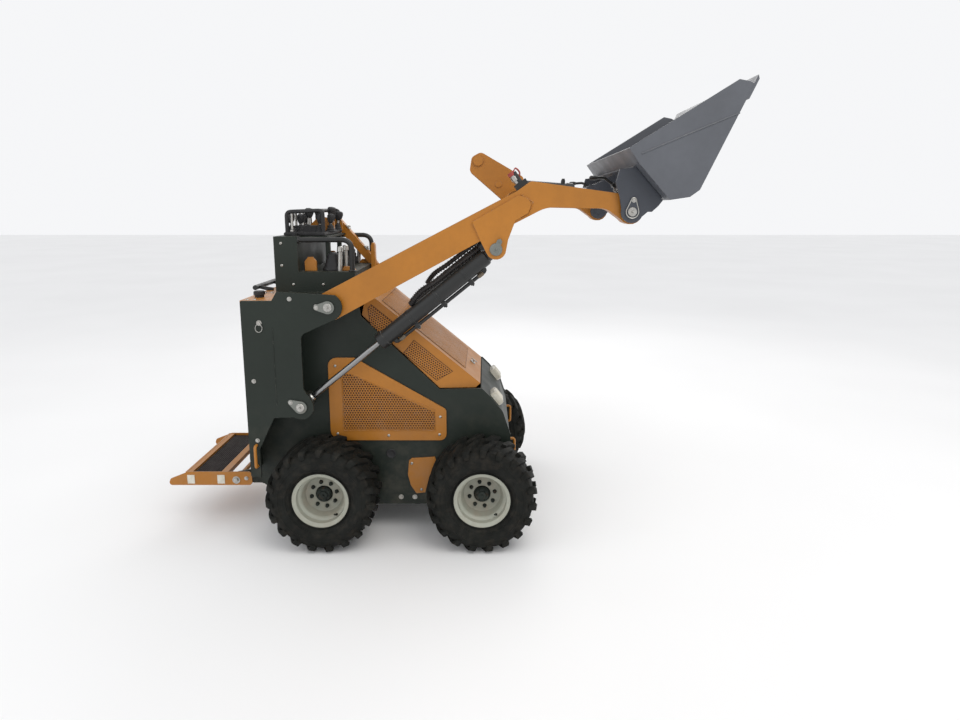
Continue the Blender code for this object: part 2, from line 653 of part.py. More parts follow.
# ---------------------------------------------------------------- operator's station
def make_console():
    """Base slab, rear column, low dash and top plate around the open control well."""
    base_z = DECK_Z + GAP
    top = DECK_Z + CONSOLE_HEIGHT
    x0, x1 = CONSOLE_X, CONSOLE_X + CONSOLE_LENGTH
    column = x0 + 0.098
    dash = DECK_Z + 0.103
    solids = [
        block(x0 + 0.0505 + GAP, HOOD_REAR.x - 0.012, -0.285, 0.285, base_z, base_z + 0.018),
        block(x0, column, -CONSOLE_HALF, CONSOLE_HALF, base_z + SHEET + GAP, top),
        block(column - 0.002, x1, -CONSOLE_HALF, CONSOLE_HALF, base_z + 0.010, dash),
        block(x0 + 0.01, x1 - 0.126, -0.178, 0.178, top - 0.010, top - 0.001),
    ]
    for y in (-0.120, 0.100):
        solids.append(block(x1 - 0.150, x1 - 0.132, y, y + 0.020, dash - 0.002, top - 0.005))
    node("control_console", fused(solids), BODY_GREY)
    r = 0.011
    z = top - r - 0.003
    for name, side in SIDES:
        y = side * (CONSOLE_HALF - r - 0.002)
        rail = pipe(bent_path([(column + GAP, y, z), (x1 - 0.012, y, z), (x1 - 0.012, y, dash + GAP)], 0.045, 6),
                    r, 14)
        node(f"console_rail_{name}", rail, BLACK)
    lever_z = top + GAP
    bar = block(x0 + 0.020, x1 - 0.140, -0.170, 0.170, lever_z, lever_z + 0.014)
    sticks = []
    for x, y, h, lean in LEVERS:
        foot = Vector((x0 + x, y, lever_z + 0.010))
        tip = foot + Vector((lean, 0, h))
        sticks.append(rod(foot, tip, 0.006, 10))
        grip = [(h - 0.038, 0), (h - 0.036, 0.010), (h - 0.012, 0.015), (h, 0.010), (h + 0.003, 0)]
        sticks.append(turned(grip, foot, tip - foot, 14))
    node("control_levers", fused([bar, *sticks]), PLASTIC)


def make_guard():
    """The orange bar that slopes from the console's top down to the deck ahead of it, with an upright lug."""
    top = DECK_Z + CONSOLE_HEIGHT
    x0 = CONSOLE_X + 0.072
    x2 = HOOD_REAR.x - 0.015
    deck = DECK_Z + GAP + 0.018 + GAP
    path = [(x0, top + GAP), (x0, top + 0.055), (x0 + 0.090, top + 0.072), (x2, deck + 0.090),
            (x2, deck)]
    bar = prism(strip(path, -0.018), 0.185, 0.225)
    lug = prism(rounded([(x2 - 0.022, deck), (x2 - 0.004, deck), (x2 - 0.006, deck + 0.190, 0.005),
                         (x2 - 0.020, deck + 0.190, 0.005)]), 0.110, 0.150)
    foot = block(x2 - 0.0245, x2 - 0.002, 0.112, 0.223, deck, deck + 0.006)
    node("control_guard", fused([bar, lug, foot]), ORANGE)


# ---------------------------------------------------------------- platform
def make_platform(carrier):
    """The fold-up footboard: two skirts, a floor and a rear sill, with its grip mats."""
    px, pz = PLATFORM_PIVOT
    front = px + 0.070
    back = front - PLATFORM_LENGTH
    low = pz - 0.024
    high = low + PLATFORM_SKIRT
    skirt = rounded([(front, low, 0.014), (front, high, 0.014), (back + 0.090, high, 0.02),
                     (back + 0.010, low + 0.030, 0.012), (back, low, 0.012)])
    floor_z = pz + 0.016
    solids = [side_prism(skirt, side, PLATFORM_HALF - 0.005, PLATFORM_HALF) for _, side in SIDES]
    inner = PLATFORM_HALF - 0.004
    solids.append(block(back + 0.078, px - 0.037, -inner, inner, floor_z, floor_z + 0.005))
    solids.append(block(back + 0.078, back + 0.086, -inner, inner, low + 0.004, high - 0.001))
    for x in (back + 0.078, px - 0.067):
        solids.append(block(x, x + 0.030, -inner, inner, floor_z + 0.003, floor_z + 0.020))
    solids.append(cross_rod(PLATFORM_PIVOT, -inner, inner, 0.010, 16))
    node("platform", fused(solids), ORANGE, carrier)
    mat = block(back + 0.108 + 0.001, px - 0.067 - 0.001, -inner + 0.002, inner - 0.002,
                floor_z + 0.005 + GAP, floor_z + 0.013)
    node("platform_mat", mat, MAT, carrier)


# ---------------------------------------------------------------- lift arms
def arm_outline():
    px, pz = ARM_PIVOT
    at = lambda dx, dz, *radius: (px + dx, pz + dz, *radius)
    return [
        *arc(ARM_PIVOT, 0.058, 118, 298, 10),
        *rounded([at(0.600, 0.258), at(0.857, 0.389, 0.12), at(1.095, 0.384, 0.06), at(1.130, 0.352)])[:-1],
        *arc(BUCKET_PIVOT, 0.048, 215, 440, 10),
        *rounded([at(1.140, 0.442), at(0.797, 0.489, 0.02), at(0.744, 0.451)]),
    ]


def gusset_outline():
    px, pz = ARM_PIVOT
    at = lambda dx, dz, *radius: (px + dx, pz + dz, *radius)
    return [
        *rounded([at(0.570, 0.333), at(0.604, 0.256)], 1),
        *arc(LIFT_HEAD, 0.040, 200, 358),
        *rounded([at(0.710, 0.264), at(0.738, 0.338), at(0.788, 0.368), at(0.806, 0.415, 0.03),
                  at(0.752, 0.437, 0.03), at(0.570, 0.333)])[:-1],
    ]


def make_arms(carrier):
    beam = arm_outline()
    gusset = gusset_outline()
    solids = [
        prism(beam, ARM_INNER, ARM_OUTER),
        prism(gusset, ARM_OUTER - 0.003, ARM_OUTER + GUSSET),
        prism(gusset, ARM_INNER - GUSSET, ARM_INNER + 0.003),
        cross_rod(ARM_PIVOT, FRAME_HALF + SIDE_GAP, TOWER_INNER - SIDE_GAP, 0.040),
    ]
    cuts = [cross_rod(place, 0.2, 0.5, PIN_RADIUS + BORE_GAP) for place in (ARM_PIVOT, BUCKET_PIVOT, LIFT_HEAD)]
    left = fused(solids, cuts)
    right = mirrored(left)
    for arm, (name, side) in zip((left, right), SIDES):
        node(f"lift_arm_{name}", arm, ORANGE, carrier)
        head = side * (ARM_OUTER + GUSSET + GAP)
        pin = cross_rod(LIFT_HEAD, side * (ARM_INNER - GUSSET), head + side * 0.003, PIN_RADIUS)
        cap = cross_rod(LIFT_HEAD, head, head + side * 0.006, 0.025, 24)
        node(f"lift_head_pin_{name}", fused([pin, cap]), STEEL, carrier)


def make_cross_member(carrier):
    """The tube between the arms with the box bracket that holds the tilt cylinder's foot."""
    reach = ARM_INNER - GUSSET - GAP
    tube = cross_rod(CROSS_TUBE, -reach, reach, CROSS_TUBE_RADIUS)
    px, pz = ARM_PIVOT
    at = lambda dx, dz, *radius: (px + dx, pz + dz, *radius)
    outline = rounded([at(0.700, 0.418), at(0.552, 0.545, 0.022), at(0.562, 0.606, 0.022), at(0.602, 0.628, 0.025),
                       at(0.790, 0.520, 0.020), at(0.790, 0.440)])
    web = [at(0.694, 0.425), at(0.564, 0.539), at(0.569, 0.545), at(0.700, 0.433)]
    solids = [tube]
    for _, side in SIDES:
        solids.append(side_prism(outline, side, TILT_EYE_HALF + SIDE_GAP, TILT_EYE_HALF + SIDE_GAP + 0.010))
        solids.append(cross_rod(at(0.590, 0.590), side * (TILT_EYE_HALF + 0.010),
                                side * (TILT_EYE_HALF + 0.024), 0.022, 24))
    solids.append(prism(web, -TILT_EYE_HALF - SIDE_GAP - 0.002, TILT_EYE_HALF + SIDE_GAP + 0.002))
    width = TILT_EYE_HALF + SIDE_GAP + 0.014
    solids.append(cross_rod(TILT_FOOT, -width, width, PIN_RADIUS - 0.003, 24))
    node("arm_cross_member", fused(solids), ORANGE, carrier)


def make_aux_block(carrier):
    """The auxiliary hydraulic couplers on the right arm's elbow."""
    px, pz = ARM_PIVOT
    a = Vector((px + 0.746, pz + 0.4526))
    b = Vector((px + 0.788, pz + 0.4826))
    along = (b - a).normalized()
    up = Vector((-along.y, along.x))
    lift = up * 0.0005
    outline = [a + lift, b + lift, b + up * 0.022, a + up * 0.022]
    solids = [side_prism([tuple(p) for p in outline], -1, ARM_INNER + 0.004, ARM_OUTER - 0.004)]
    middle = (a + b) / 2
    for y in (-(ARM_INNER + 0.018), -(ARM_OUTER - 0.018)):
        foot = middle + up * 0.018
        tip = middle + up * 0.066
        solids.append(rod((foot.x, y, foot.y), (tip.x, y, tip.y), 0.012, 16))
    node("aux_coupler_block", fused(solids), BLACK, carrier)


# ---------------------------------------------------------------- cylinders
def cylinder_pair(foot, head, y, barrel_radius, rod_radius, showing, eye_radius, eye_half, pin_radius, rod_grip,
                  fittings=()):
    """A barrel with its eye at head and a rod with its eye at foot, both across the line between them."""
    start = Vector((head[0], y, head[1]))
    end = Vector((foot[0], y, foot[1]))
    axis = (end - start).normalized()
    length = (end - start).length
    bore = rod_radius + BORE_GAP
    gland = length - showing
    rod_inner = gland - rod_grip
    bore_end = eye_radius + 0.014
    barrel = turned(
        [(eye_radius * 0.75, 0), (eye_radius * 0.75, barrel_radius * 0.78),
         (eye_radius + 0.018, barrel_radius * 0.78), (eye_radius + 0.026, barrel_radius),
         (gland - 0.032, barrel_radius), (gland - 0.032, barrel_radius + 0.003),
         (gland - 0.004, barrel_radius + 0.003),
         (gland, barrel_radius - 0.004), (gland, bore), (bore_end, bore), (bore_end, 0)],
        start, axis, ROUND)
    eye = cross_rod(head, y - eye_half, y + eye_half, eye_radius)
    hole = cross_rod(head, y - 0.1, y + 0.1, pin_radius + BORE_GAP)
    shaft = turned([(rod_inner, 0), (rod_inner, rod_radius), (length - eye_radius * 0.6, rod_radius),
                    (length - eye_radius * 0.6, 0)], start, axis, 24)
    rod_eye = cross_rod(foot, y - eye_half, y + eye_half, eye_radius - 0.002)
    return fused([barrel, eye, *fittings], [hole]), fused([shaft, rod_eye])


def make_lift_cylinders(arm):
    for name, side in SIDES:
        y = side * ARM_Y
        head = Vector((LIFT_HEAD.x, y, LIFT_HEAD.y))
        barrel_axis = pivot(f"lift_barrel_{name}_axis", head, arm)
        rod_axis = pivot(f"lift_rod_{name}_axis", head, barrel_axis)
        eye_half = ARM_WIDTH / 2 - SIDE_GAP
        axis = (LIFT_FOOT - LIFT_HEAD).normalized()
        below = Vector((axis.y, -axis.x))
        if below.y > 0:
            below = -below
        line = [LIFT_HEAD + axis * d + below * r for d, r in
                ((0.075, LIFT_BARREL_RADIUS - 0.006), (0.075, LIFT_BARREL_RADIUS + 0.012),
                 (0.545, LIFT_BARREL_RADIUS + 0.012), (0.585, LIFT_BARREL_RADIUS - 0.006))]
        line = [(p.x, y, p.y) for p in line]
        oil_pipe = pipe(bent_path(line, 0.012, 3), 0.006, 10)
        barrel, shaft = cylinder_pair(LIFT_FOOT, LIFT_HEAD, y, LIFT_BARREL_RADIUS, LIFT_ROD_RADIUS,
                                      LIFT_ROD_SHOWING, LIFT_EYE_RADIUS, eye_half, PIN_RADIUS, 0.080, [oil_pipe])
        node(f"lift_barrel_{name}", barrel, BLACK, barrel_axis)
        node(f"lift_rod_{name}", shaft, STEEL, rod_axis)


def make_tilt_cylinder(arm):
    place = Vector((TILT_FOOT.x, 0, TILT_FOOT.y))
    barrel_axis = pivot("tilt_barrel_axis", place, arm)
    rod_axis = pivot("tilt_rod_axis", place, barrel_axis)
    barrel, shaft = cylinder_pair(TILT_HEAD, TILT_FOOT, 0, TILT_BARREL_RADIUS, TILT_ROD_RADIUS, TILT_ROD_SHOWING,
                                  TILT_EYE_RADIUS, TILT_EYE_HALF, PIN_RADIUS - 0.003, 0.230)
    node("tilt_barrel", barrel, BLACK, barrel_axis)
    node("tilt_rod", shaft, STEEL, rod_axis)


# ---------------------------------------------------------------- hitch and bucket
def bucket_corners():
    """Cutting line, heel and back of the bucket, from the floor's front end round to the back's top."""
    at = lambda dx, dz: BUCKET_PIVOT + Vector((dx, dz))
    heel = at(0.233, 0.081)
    tip = at(0.423, 0.488)
    floor = (tip - heel).normalized()
    front = heel + floor * 0.4157
    return {"front": front, "heel": heel, "round": at(0.197, 0.055), "foot": at(0.123, 0.044),
            "bend": at(0.006, 0.175), "top": at(-0.036, 0.232), "side_front": at(0.391, 0.466),
            "side_top": at(0.354, 0.473), "tip": tip, "along": floor}


def make_bucket(carrier):
    c = bucket_corners()
    half = BUCKET_WIDTH / 2
    walls = [c["front"], c["heel"], c["round"], c["foot"], c["bend"], c["top"]]
    rim_line = [c["side_top"], c["side_front"]]
    shell = prism([tuple(p) for p in walls + rim_line], -half, half)
    inner = offset_path(walls, -BUCKET_WALL)
    away = Vector((-0.526, 0.850)) * 0.3
    inner = [*inner, inner[-1] + away, inner[0] + away]
    inner[0] = inner[0] + c["along"] * 0.05
    inner[-1] = inner[-1] + c["along"] * 0.05
    hollow = prism([tuple(p) for p in inner], -(half - BUCKET_WALL), half - BUCKET_WALL)
    boolean(shell, [hollow], "DIFFERENCE")
    along = c["along"]
    under = Vector((along.y, -along.x))
    start = c["front"] - along * 0.055 - under * 0.002
    end = c["tip"] - under * 0.002
    edge = [start, end, end - along * 0.012 + under * CUTTING_EDGE, start + under * CUTTING_EDGE]
    blade = prism([tuple(p) for p in edge], -half - 0.0005, half + 0.0005)
    node("bucket", fused([shell, blade]), BUCKET_GREY, carrier)


def make_hitch(carrier):
    """The quick hitch: a plate behind the bucket, two ears at each arm and two at the tilt cylinder."""
    c = bucket_corners()
    back = (c["bend"] - c["foot"]).normalized()
    behind = Vector((back.y, -back.x))
    if behind.x > 0:
        behind = -behind
    low = c["foot"] + behind * GAP + back * 0.014
    high = c["bend"] + behind * GAP
    seat = behind * 0.005
    plate = [low, high, high + behind * HITCH_PLATE, low + behind * HITCH_PLATE]
    at = lambda dx, dz: tuple(BUCKET_PIVOT + Vector((dx, dz)))
    ear = [tuple(low + seat - back * 0.010), tuple(high + seat - back * 0.006), at(-0.052, 0.160), at(-0.066, 0.109),
           at(-0.049, 0.056), *arc(BUCKET_PIVOT, 0.043, 165, 335, 8), at(0.060, 0.000), at(0.076, 0.000),
           at(0.100, 0.022)]
    inner_ear = [tuple(low + seat + back * 0.010), tuple(high + seat - back * 0.050),
                 *arc(BUCKET_PIVOT, 0.040, 110, 320, 8)]
    tilt_ear = [tuple(low + seat + back * 0.020), tuple(high + seat - back * 0.016),
                *arc(TILT_HEAD, 0.026, 80, 290, 8)]
    outer_end = TOWER_OUTER
    inner_side = ARM_INNER - GUSSET - SIDE_GAP
    reach = outer_end - 0.002
    solids = [prism([tuple(p) for p in plate], -reach, reach)]
    cuts = []
    for _, side in SIDES:
        solids.append(side_prism(ear, side, outer_end - TOWER_PLATE, outer_end))
        solids.append(side_prism(inner_ear, side, inner_side - 0.010, inner_side))
        solids.append(side_prism(tilt_ear, side, TILT_EYE_HALF + SIDE_GAP, TILT_EYE_HALF + SIDE_GAP + 0.010))
        solids.append(cross_rod(TILT_HEAD, side * (TILT_EYE_HALF + 0.0005), side * (TILT_EYE_HALF + 0.020), 0.015, 24))
        cuts.append(cross_rod(BUCKET_PIVOT, side * 0.25, side * 0.5, PIN_RADIUS + BORE_GAP))
    node("bucket_hitch", fused(solids, cuts), BUCKET_GREY, carrier)
    for name, side in SIDES:
        pin = cross_rod(BUCKET_PIVOT, side * (inner_side - 0.012), side * (outer_end + GAP + 0.003), PIN_RADIUS)
        node(f"bucket_pin_{name}", fused([keeper_head(BUCKET_PIVOT, side, 85), pin]), STEEL, carrier)


def main():
    for obj in list(bpy.data.objects):
        bpy.data.objects.remove(obj)
    make_wheels()
    make_frame()
    make_towers()
    make_pins()
    make_rear_body()
    make_nose()
    make_engine()
    make_side_panels()
    make_console()
    make_guard()
    make_hood(pivot("hood_axis", (HOOD_REAR.x, 0, HOOD_REAR.y)))
    make_platform(pivot("platform_axis", (PLATFORM_PIVOT.x, 0, PLATFORM_PIVOT.y)))
    arm = pivot("lift_arm_axis", (ARM_PIVOT.x, 0, ARM_PIVOT.y))
    make_arms(arm)
    make_cross_member(arm)
    make_aux_block(arm)
    make_lift_cylinders(arm)
    make_tilt_cylinder(arm)
    tilt = pivot("bucket_tilt_axis", (BUCKET_PIVOT.x, 0, BUCKET_PIVOT.y), arm)
    make_hitch(tilt)
    make_bucket(tilt)


main()
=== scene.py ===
import json
from math import cos, pi, radians, sin, sqrt

import bmesh
import bpy
from mathutils import Matrix, Vector


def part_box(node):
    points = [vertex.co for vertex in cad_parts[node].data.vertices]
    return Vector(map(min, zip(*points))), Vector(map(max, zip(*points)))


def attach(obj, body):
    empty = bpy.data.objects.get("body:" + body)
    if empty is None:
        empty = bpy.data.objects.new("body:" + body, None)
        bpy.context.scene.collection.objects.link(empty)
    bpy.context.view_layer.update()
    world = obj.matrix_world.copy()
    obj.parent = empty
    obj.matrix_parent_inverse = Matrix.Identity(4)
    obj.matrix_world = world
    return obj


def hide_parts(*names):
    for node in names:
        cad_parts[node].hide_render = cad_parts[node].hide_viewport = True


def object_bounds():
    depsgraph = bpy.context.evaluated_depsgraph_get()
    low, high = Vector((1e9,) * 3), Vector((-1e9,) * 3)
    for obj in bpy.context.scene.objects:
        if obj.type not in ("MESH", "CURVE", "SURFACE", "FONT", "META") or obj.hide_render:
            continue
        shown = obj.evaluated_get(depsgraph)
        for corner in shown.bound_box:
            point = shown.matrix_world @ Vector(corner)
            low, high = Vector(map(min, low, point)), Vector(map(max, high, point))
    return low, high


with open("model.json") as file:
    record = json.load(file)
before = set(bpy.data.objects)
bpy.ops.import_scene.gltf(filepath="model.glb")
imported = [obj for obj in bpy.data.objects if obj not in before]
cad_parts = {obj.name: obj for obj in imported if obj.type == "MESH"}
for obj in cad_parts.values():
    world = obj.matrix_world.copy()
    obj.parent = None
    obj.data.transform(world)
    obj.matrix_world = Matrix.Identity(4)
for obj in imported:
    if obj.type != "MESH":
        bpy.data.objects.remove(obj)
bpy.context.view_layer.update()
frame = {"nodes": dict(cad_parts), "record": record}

record = frame["record"]

SIDES = (("left", 1), ("right", -1))
JOINT = {j["name"]: j for j in record["behaviour"]["joints"]}

# Metres, except for counts and for the valve's angle, which is in radians.
WASHER = 0.0016
TREAD_DEPTH = 0.017
LUGS = 19
BEAD_LIP = 0.012
DISC_FACE = 0.018
WHEEL_NUTS = 8
NUT_CIRCLE = 0.053
VALVE_ANGLE = -0.9
HOOD_HALF = 0.250
HOOD_LEAN = 0.27
ROD_EYE = 0.028
ROD_SHOWING = 0.407
BARREL_RADIUS = 0.033
GUSSET_FACE = 0.4052
OIL_LINE = 0.322
FRAME_FACE = 0.295
LOWER_COVER = 0.317
CONSOLE_HALF = 0.250
# Each lever's distance ahead of the console's rear, y, height and forward lean.
LEVERS = (
    (0.050, -0.140, 0.085, -0.010), (0.100, -0.085, 0.105, 0.012), (0.140, -0.030, 0.100, 0.000),
    (0.170, 0.030, 0.110, 0.014), (0.120, 0.090, 0.098, -0.008), (0.180, 0.140, 0.090, 0.010),
)
SHORT_LEVERS = (
    (0.075, -0.105), (0.165, -0.125), (0.190, -0.040), (0.060, 0.030), (0.090, 0.140), (0.165, 0.085),
)

DUST = (0.30, 0.25, 0.19)
BARE = (0.34, 0.33, 0.31)


def joint_place(name):
    return Vector(JOINT[name]["pos_m"])


def low(node):
    return Vector(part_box(node)[0])


def high(node):
    return Vector(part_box(node)[1])


def middle(node):
    return (low(node) + high(node)) / 2


def at(x, y, z):
    return Vector((x, y, z))


def outer_face(node, side):
    """How far a node reaches out on its own side."""
    return high(node).y if side > 0 else -low(node).y


# ---------------------------------------------------------------- materials
class Shader:
    """A node material that starts as a Principled shader with object coordinates."""

    def __init__(self, name):
        self.material = bpy.data.materials.new(name)
        self.material.use_nodes = True
        self.tree = self.material.node_tree
        self.surface = self.tree.nodes["Principled BSDF"]
        self.coords = self.tree.nodes.new("ShaderNodeTexCoord").outputs["Object"]

    def add(self, kind, settings=None, **inputs):
        made = self.tree.nodes.new(kind)
        for key, value in (settings or {}).items():
            setattr(made, key, value)
        for key, value in inputs.items():
            self.put(made.inputs[key.replace("_", " ")], value)
        return made

    def put(self, socket, value):
        if isinstance(value, bpy.types.NodeSocket):
            self.tree.links.new(value, socket)
        else:
            socket.default_value = value

    def noise(self, scale, detail=3.0, stretch=None):
        coords = self.coords
        if stretch:
            coords = self.add("ShaderNodeMapping", Vector=coords, Scale=stretch).outputs["Vector"]
        made = self.add("ShaderNodeTexNoise", Vector=coords, Scale=scale, Detail=detail, Roughness=0.55)
        return made.outputs["Fac"]

    def spread(self, value, low_in, high_in, low_out=0.0, high_out=1.0):
        made = self.add("ShaderNodeMapRange", Value=value)
        for index, number in enumerate((low_in, high_in, low_out, high_out), 1):
            made.inputs[index].default_value = number
        return made.outputs["Result"]

    def math(self, operation, a, b=0.0):
        made = self.add("ShaderNodeMath", {"operation": operation, "use_clamp": operation == "MULTIPLY"})
        self.put(made.inputs[0], a)
        self.put(made.inputs[1], b)
        return made.outputs["Value"]

    def times(self, a, b):
        return self.math("MULTIPLY", a, b)

    def mix(self, factor, a, b):
        made = self.add("ShaderNodeMix", {"data_type": "RGBA", "blend_type": "MIX"})
        for socket, value in ((made.inputs[0], factor), (made.inputs[6], a), (made.inputs[7], b)):
            self.put(socket, (*value, 1.0) if isinstance(value, tuple) and len(value) == 3 else value)
        return made.outputs[2]

    def edges(self, radius):
        """1 along convex and concave edges, 0 on flats, with the softened normal that shows it."""
        soft = self.add("ShaderNodeBevel", {"samples": 4}, Radius=radius).outputs["Normal"]
        flat = self.add("ShaderNodeNewGeometry").outputs["Normal"]
        dot = self.add("ShaderNodeVectorMath", {"operation": "DOT_PRODUCT"})
        self.put(dot.inputs[0], soft)
        self.put(dot.inputs[1], flat)
        return self.spread(dot.outputs["Value"], 0.995, 0.80), soft

    def upward(self):
        """1 where the surface faces up."""
        normal = self.add("ShaderNodeNewGeometry").outputs["Normal"]
        z = self.add("ShaderNodeSeparateXYZ", Vector=normal).outputs["Z"]
        return self.spread(z, 0.55, 1.0)

    def near_ground(self, reach):
        z = self.add("ShaderNodeSeparateXYZ", Vector=self.coords).outputs["Z"]
        return self.spread(z, reach, 0.05)

    def bump(self, height, strength, distance, normal=None):
        made = self.add("ShaderNodeBump", Strength=strength, Distance=distance, Height=height)
        if normal is not None:
            self.put(made.inputs["Normal"], normal)
        return made.outputs["Normal"]

    def finish(self, colour, roughness, metallic=0.0, normal=None, coat=0.0, specular=0.5):
        self.put(self.surface.inputs["Base Color"], colour)
        self.put(self.surface.inputs["Roughness"], roughness)
        self.put(self.surface.inputs["Metallic"], metallic)
        self.surface.inputs["Coat Weight"].default_value = coat
        self.surface.inputs["Coat Roughness"].default_value = 0.22
        self.surface.inputs["Specular IOR Level"].default_value = specular
        if normal is not None:
            self.put(self.surface.inputs["Normal"], normal)
        return self.material


def shade(colour, factor, lift=0.0):
    return tuple(channel * factor + lift for channel in colour)


def paint(name, colour, roughness, worn=0.35, dusty=0.25, coat=0.10, specular=0.42):
    """Sprayed steel: uneven tone, orange peel, chipped edges, dust on top and splashes low down."""
    s = Shader(name)
    base = s.mix(s.spread(s.noise(2.6, 4), 0.3, 0.7), shade(colour, 0.86), shade(colour, 1.10))
    base = s.mix(s.spread(s.noise(38, 6), 0.35, 0.75, 0.0, 0.16), base, shade(colour, 0.55))
    runs = s.spread(s.noise(14, 4, (1, 1, 0.12)), 0.55, 0.8, 0.0, 0.20)
    base = s.mix(runs, base, shade(colour, 0.6))
    edge, soft = s.edges(0.0022)
    chips = s.times(s.times(edge, s.spread(s.noise(55, 5), 0.50, 0.62)), worn)
    base = s.mix(chips, base, BARE)
    settled = s.times(s.upward(), s.spread(s.noise(7, 5), 0.35, 0.7, 0.15, 0.8))
    splash = s.times(s.near_ground(0.62), s.spread(s.noise(22, 6), 0.42, 0.7))
    dirt = s.times(s.math("MAXIMUM", settled, splash), dusty)
    base = s.mix(dirt, base, DUST)
    rough = s.spread(s.noise(9, 5), 0.3, 0.7, roughness - 0.08, roughness + 0.10)
    rough = s.math("MAXIMUM", rough, s.times(dirt, 0.9))
    return s.finish(base, rough, 0.0, s.bump(s.noise(420, 2), 0.12, 0.0006, soft), coat, specular)


def rubber(name, colour):
    """Tyre rubber with a dry bloom, mould grain and brown dust in patches."""
    s = Shader(name)
    base = s.mix(s.spread(s.noise(11, 5), 0.3, 0.7), shade(colour, 0.7), shade(colour, 1.35))
    base = s.mix(s.spread(s.noise(34, 7), 0.46, 0.80, 0.0, 0.26), base, (0.075, 0.060, 0.045))
    edge, soft = s.edges(0.0018)
    base = s.mix(s.times(edge, 0.30), base, shade(colour, 2.6))
    rough = s.spread(s.noise(30, 4), 0.3, 0.7, 0.66, 0.88)
    return s.finish(base, rough, 0.0, s.bump(s.noise(260, 3), 0.25, 0.0012, soft), 0.0, 0.22)


def steel(name, colour, roughness, rust=0.15, grain=(1, 14, 1)):
    """Turned or plated steel: fine lines, dull patches and a little rust staining."""
    s = Shader(name)
    lines = s.noise(160, 3, grain)
    base = s.mix(s.spread(lines, 0.3, 0.7), shade(colour, 0.75), shade(colour, 1.1))
    stain = s.spread(s.noise(18, 6), 0.56, 0.74, 0.0, rust)
    base = s.mix(stain, base, (0.20, 0.10, 0.05))
    rough = s.spread(lines, 0.3, 0.7, roughness - 0.06, roughness + 0.10)
    rough = s.math("ADD", rough, s.times(stain, 0.6))
    soft = s.edges(0.0012)[1]
    return s.finish(base, rough, 0.95, s.bump(lines, 0.10, 0.0004, soft), 0.0)


def plastic(name, colour, roughness, grain=0.25):
    """Moulded plastic or hose rubber with a pebbled skin and grey scuffs."""
    s = Shader(name)
    base = s.mix(s.spread(s.noise(20, 5), 0.4, 0.75, 0.0, 0.5), colour, shade(colour, 1.9, 0.01))
    edge, soft = s.edges(0.0015)
    base = s.mix(s.times(edge, 0.3), base, (0.14, 0.14, 0.14))
    rough = s.spread(s.noise(50, 4), 0.3, 0.7, roughness - 0.08, roughness + 0.12)
    return s.finish(base, rough, 0.0, s.bump(s.noise(600, 2), grain, 0.0006, soft), 0.0, 0.4)


def casting(name, colour):
    """Rough cast iron with oily patches."""
    s = Shader(name)
    base = s.mix(s.spread(s.noise(16, 6), 0.35, 0.7), shade(colour, 0.5), shade(colour, 1.4))
    base = s.mix(s.spread(s.noise(33, 5), 0.58, 0.7, 0.0, 0.35), base, (0.16, 0.08, 0.04))
    rough = s.spread(s.noise(12, 4), 0.3, 0.7, 0.42, 0.75)
    soft = s.edges(0.0025)[1]
    return s.finish(base, rough, 0.55, s.bump(s.noise(210, 5), 0.5, 0.0012, soft), 0.0)


def lens(name):
    """The lamps' pressed lens: pale, glossy and ribbed."""
    s = Shader(name)
    waves = s.add("ShaderNodeTexWave", {"bands_direction": "Y"}, Vector=s.coords, Scale=60.0,
                  Distortion=0.0).outputs["Fac"]
    base = s.mix(s.spread(s.noise(40, 3), 0.3, 0.7), (0.66, 0.62, 0.50), (0.86, 0.83, 0.74))
    base = s.mix(s.spread(waves, 0.0, 1.0, 0.0, 0.25), base, (0.45, 0.42, 0.33))
    made = s.finish(base, 0.14, 0.0, s.bump(waves, 0.5, 0.001), 0.6)
    s.surface.inputs["Transmission Weight"].default_value = 0.15
    return made


# Finishes named like their material slot, then special ones that share a slot.
FINISH = {slot: (material, slot) for slot, material in {
    "orange": paint("orange_enamel", (0.42, 0.160, 0.014), 0.42, 0.5, 0.16),
    "body_grey": paint("frame_enamel", (0.016, 0.022, 0.017), 0.50, 0.35, 0.14, 0.04, 0.28),
    "bucket_grey": paint("bucket_enamel", (0.105, 0.112, 0.128), 0.44, 0.7, 0.24),
    "black_steel": paint("black_enamel", (0.013, 0.014, 0.014), 0.40, 0.5, 0.14),
    "black_plastic": plastic("black_plastic_skin", (0.014, 0.014, 0.015), 0.50),
    "tyre_rubber": rubber("tyre_tread_rubber", (0.0075, 0.0082, 0.0068)),
    "ivory": paint("rim_enamel", (0.36, 0.37, 0.31), 0.44, 0.5, 0.55),
    "iron": casting("cast_housing", (0.024, 0.031, 0.026)),
    "bright_steel": steel("bright_plated_steel", (0.50, 0.49, 0.46), 0.30),
    "lamp": lens("lamp_glass"),
    "mat": plastic("grip_mat_rubber", (0.026, 0.019, 0.017), 0.80, 0.6),
}.items()}
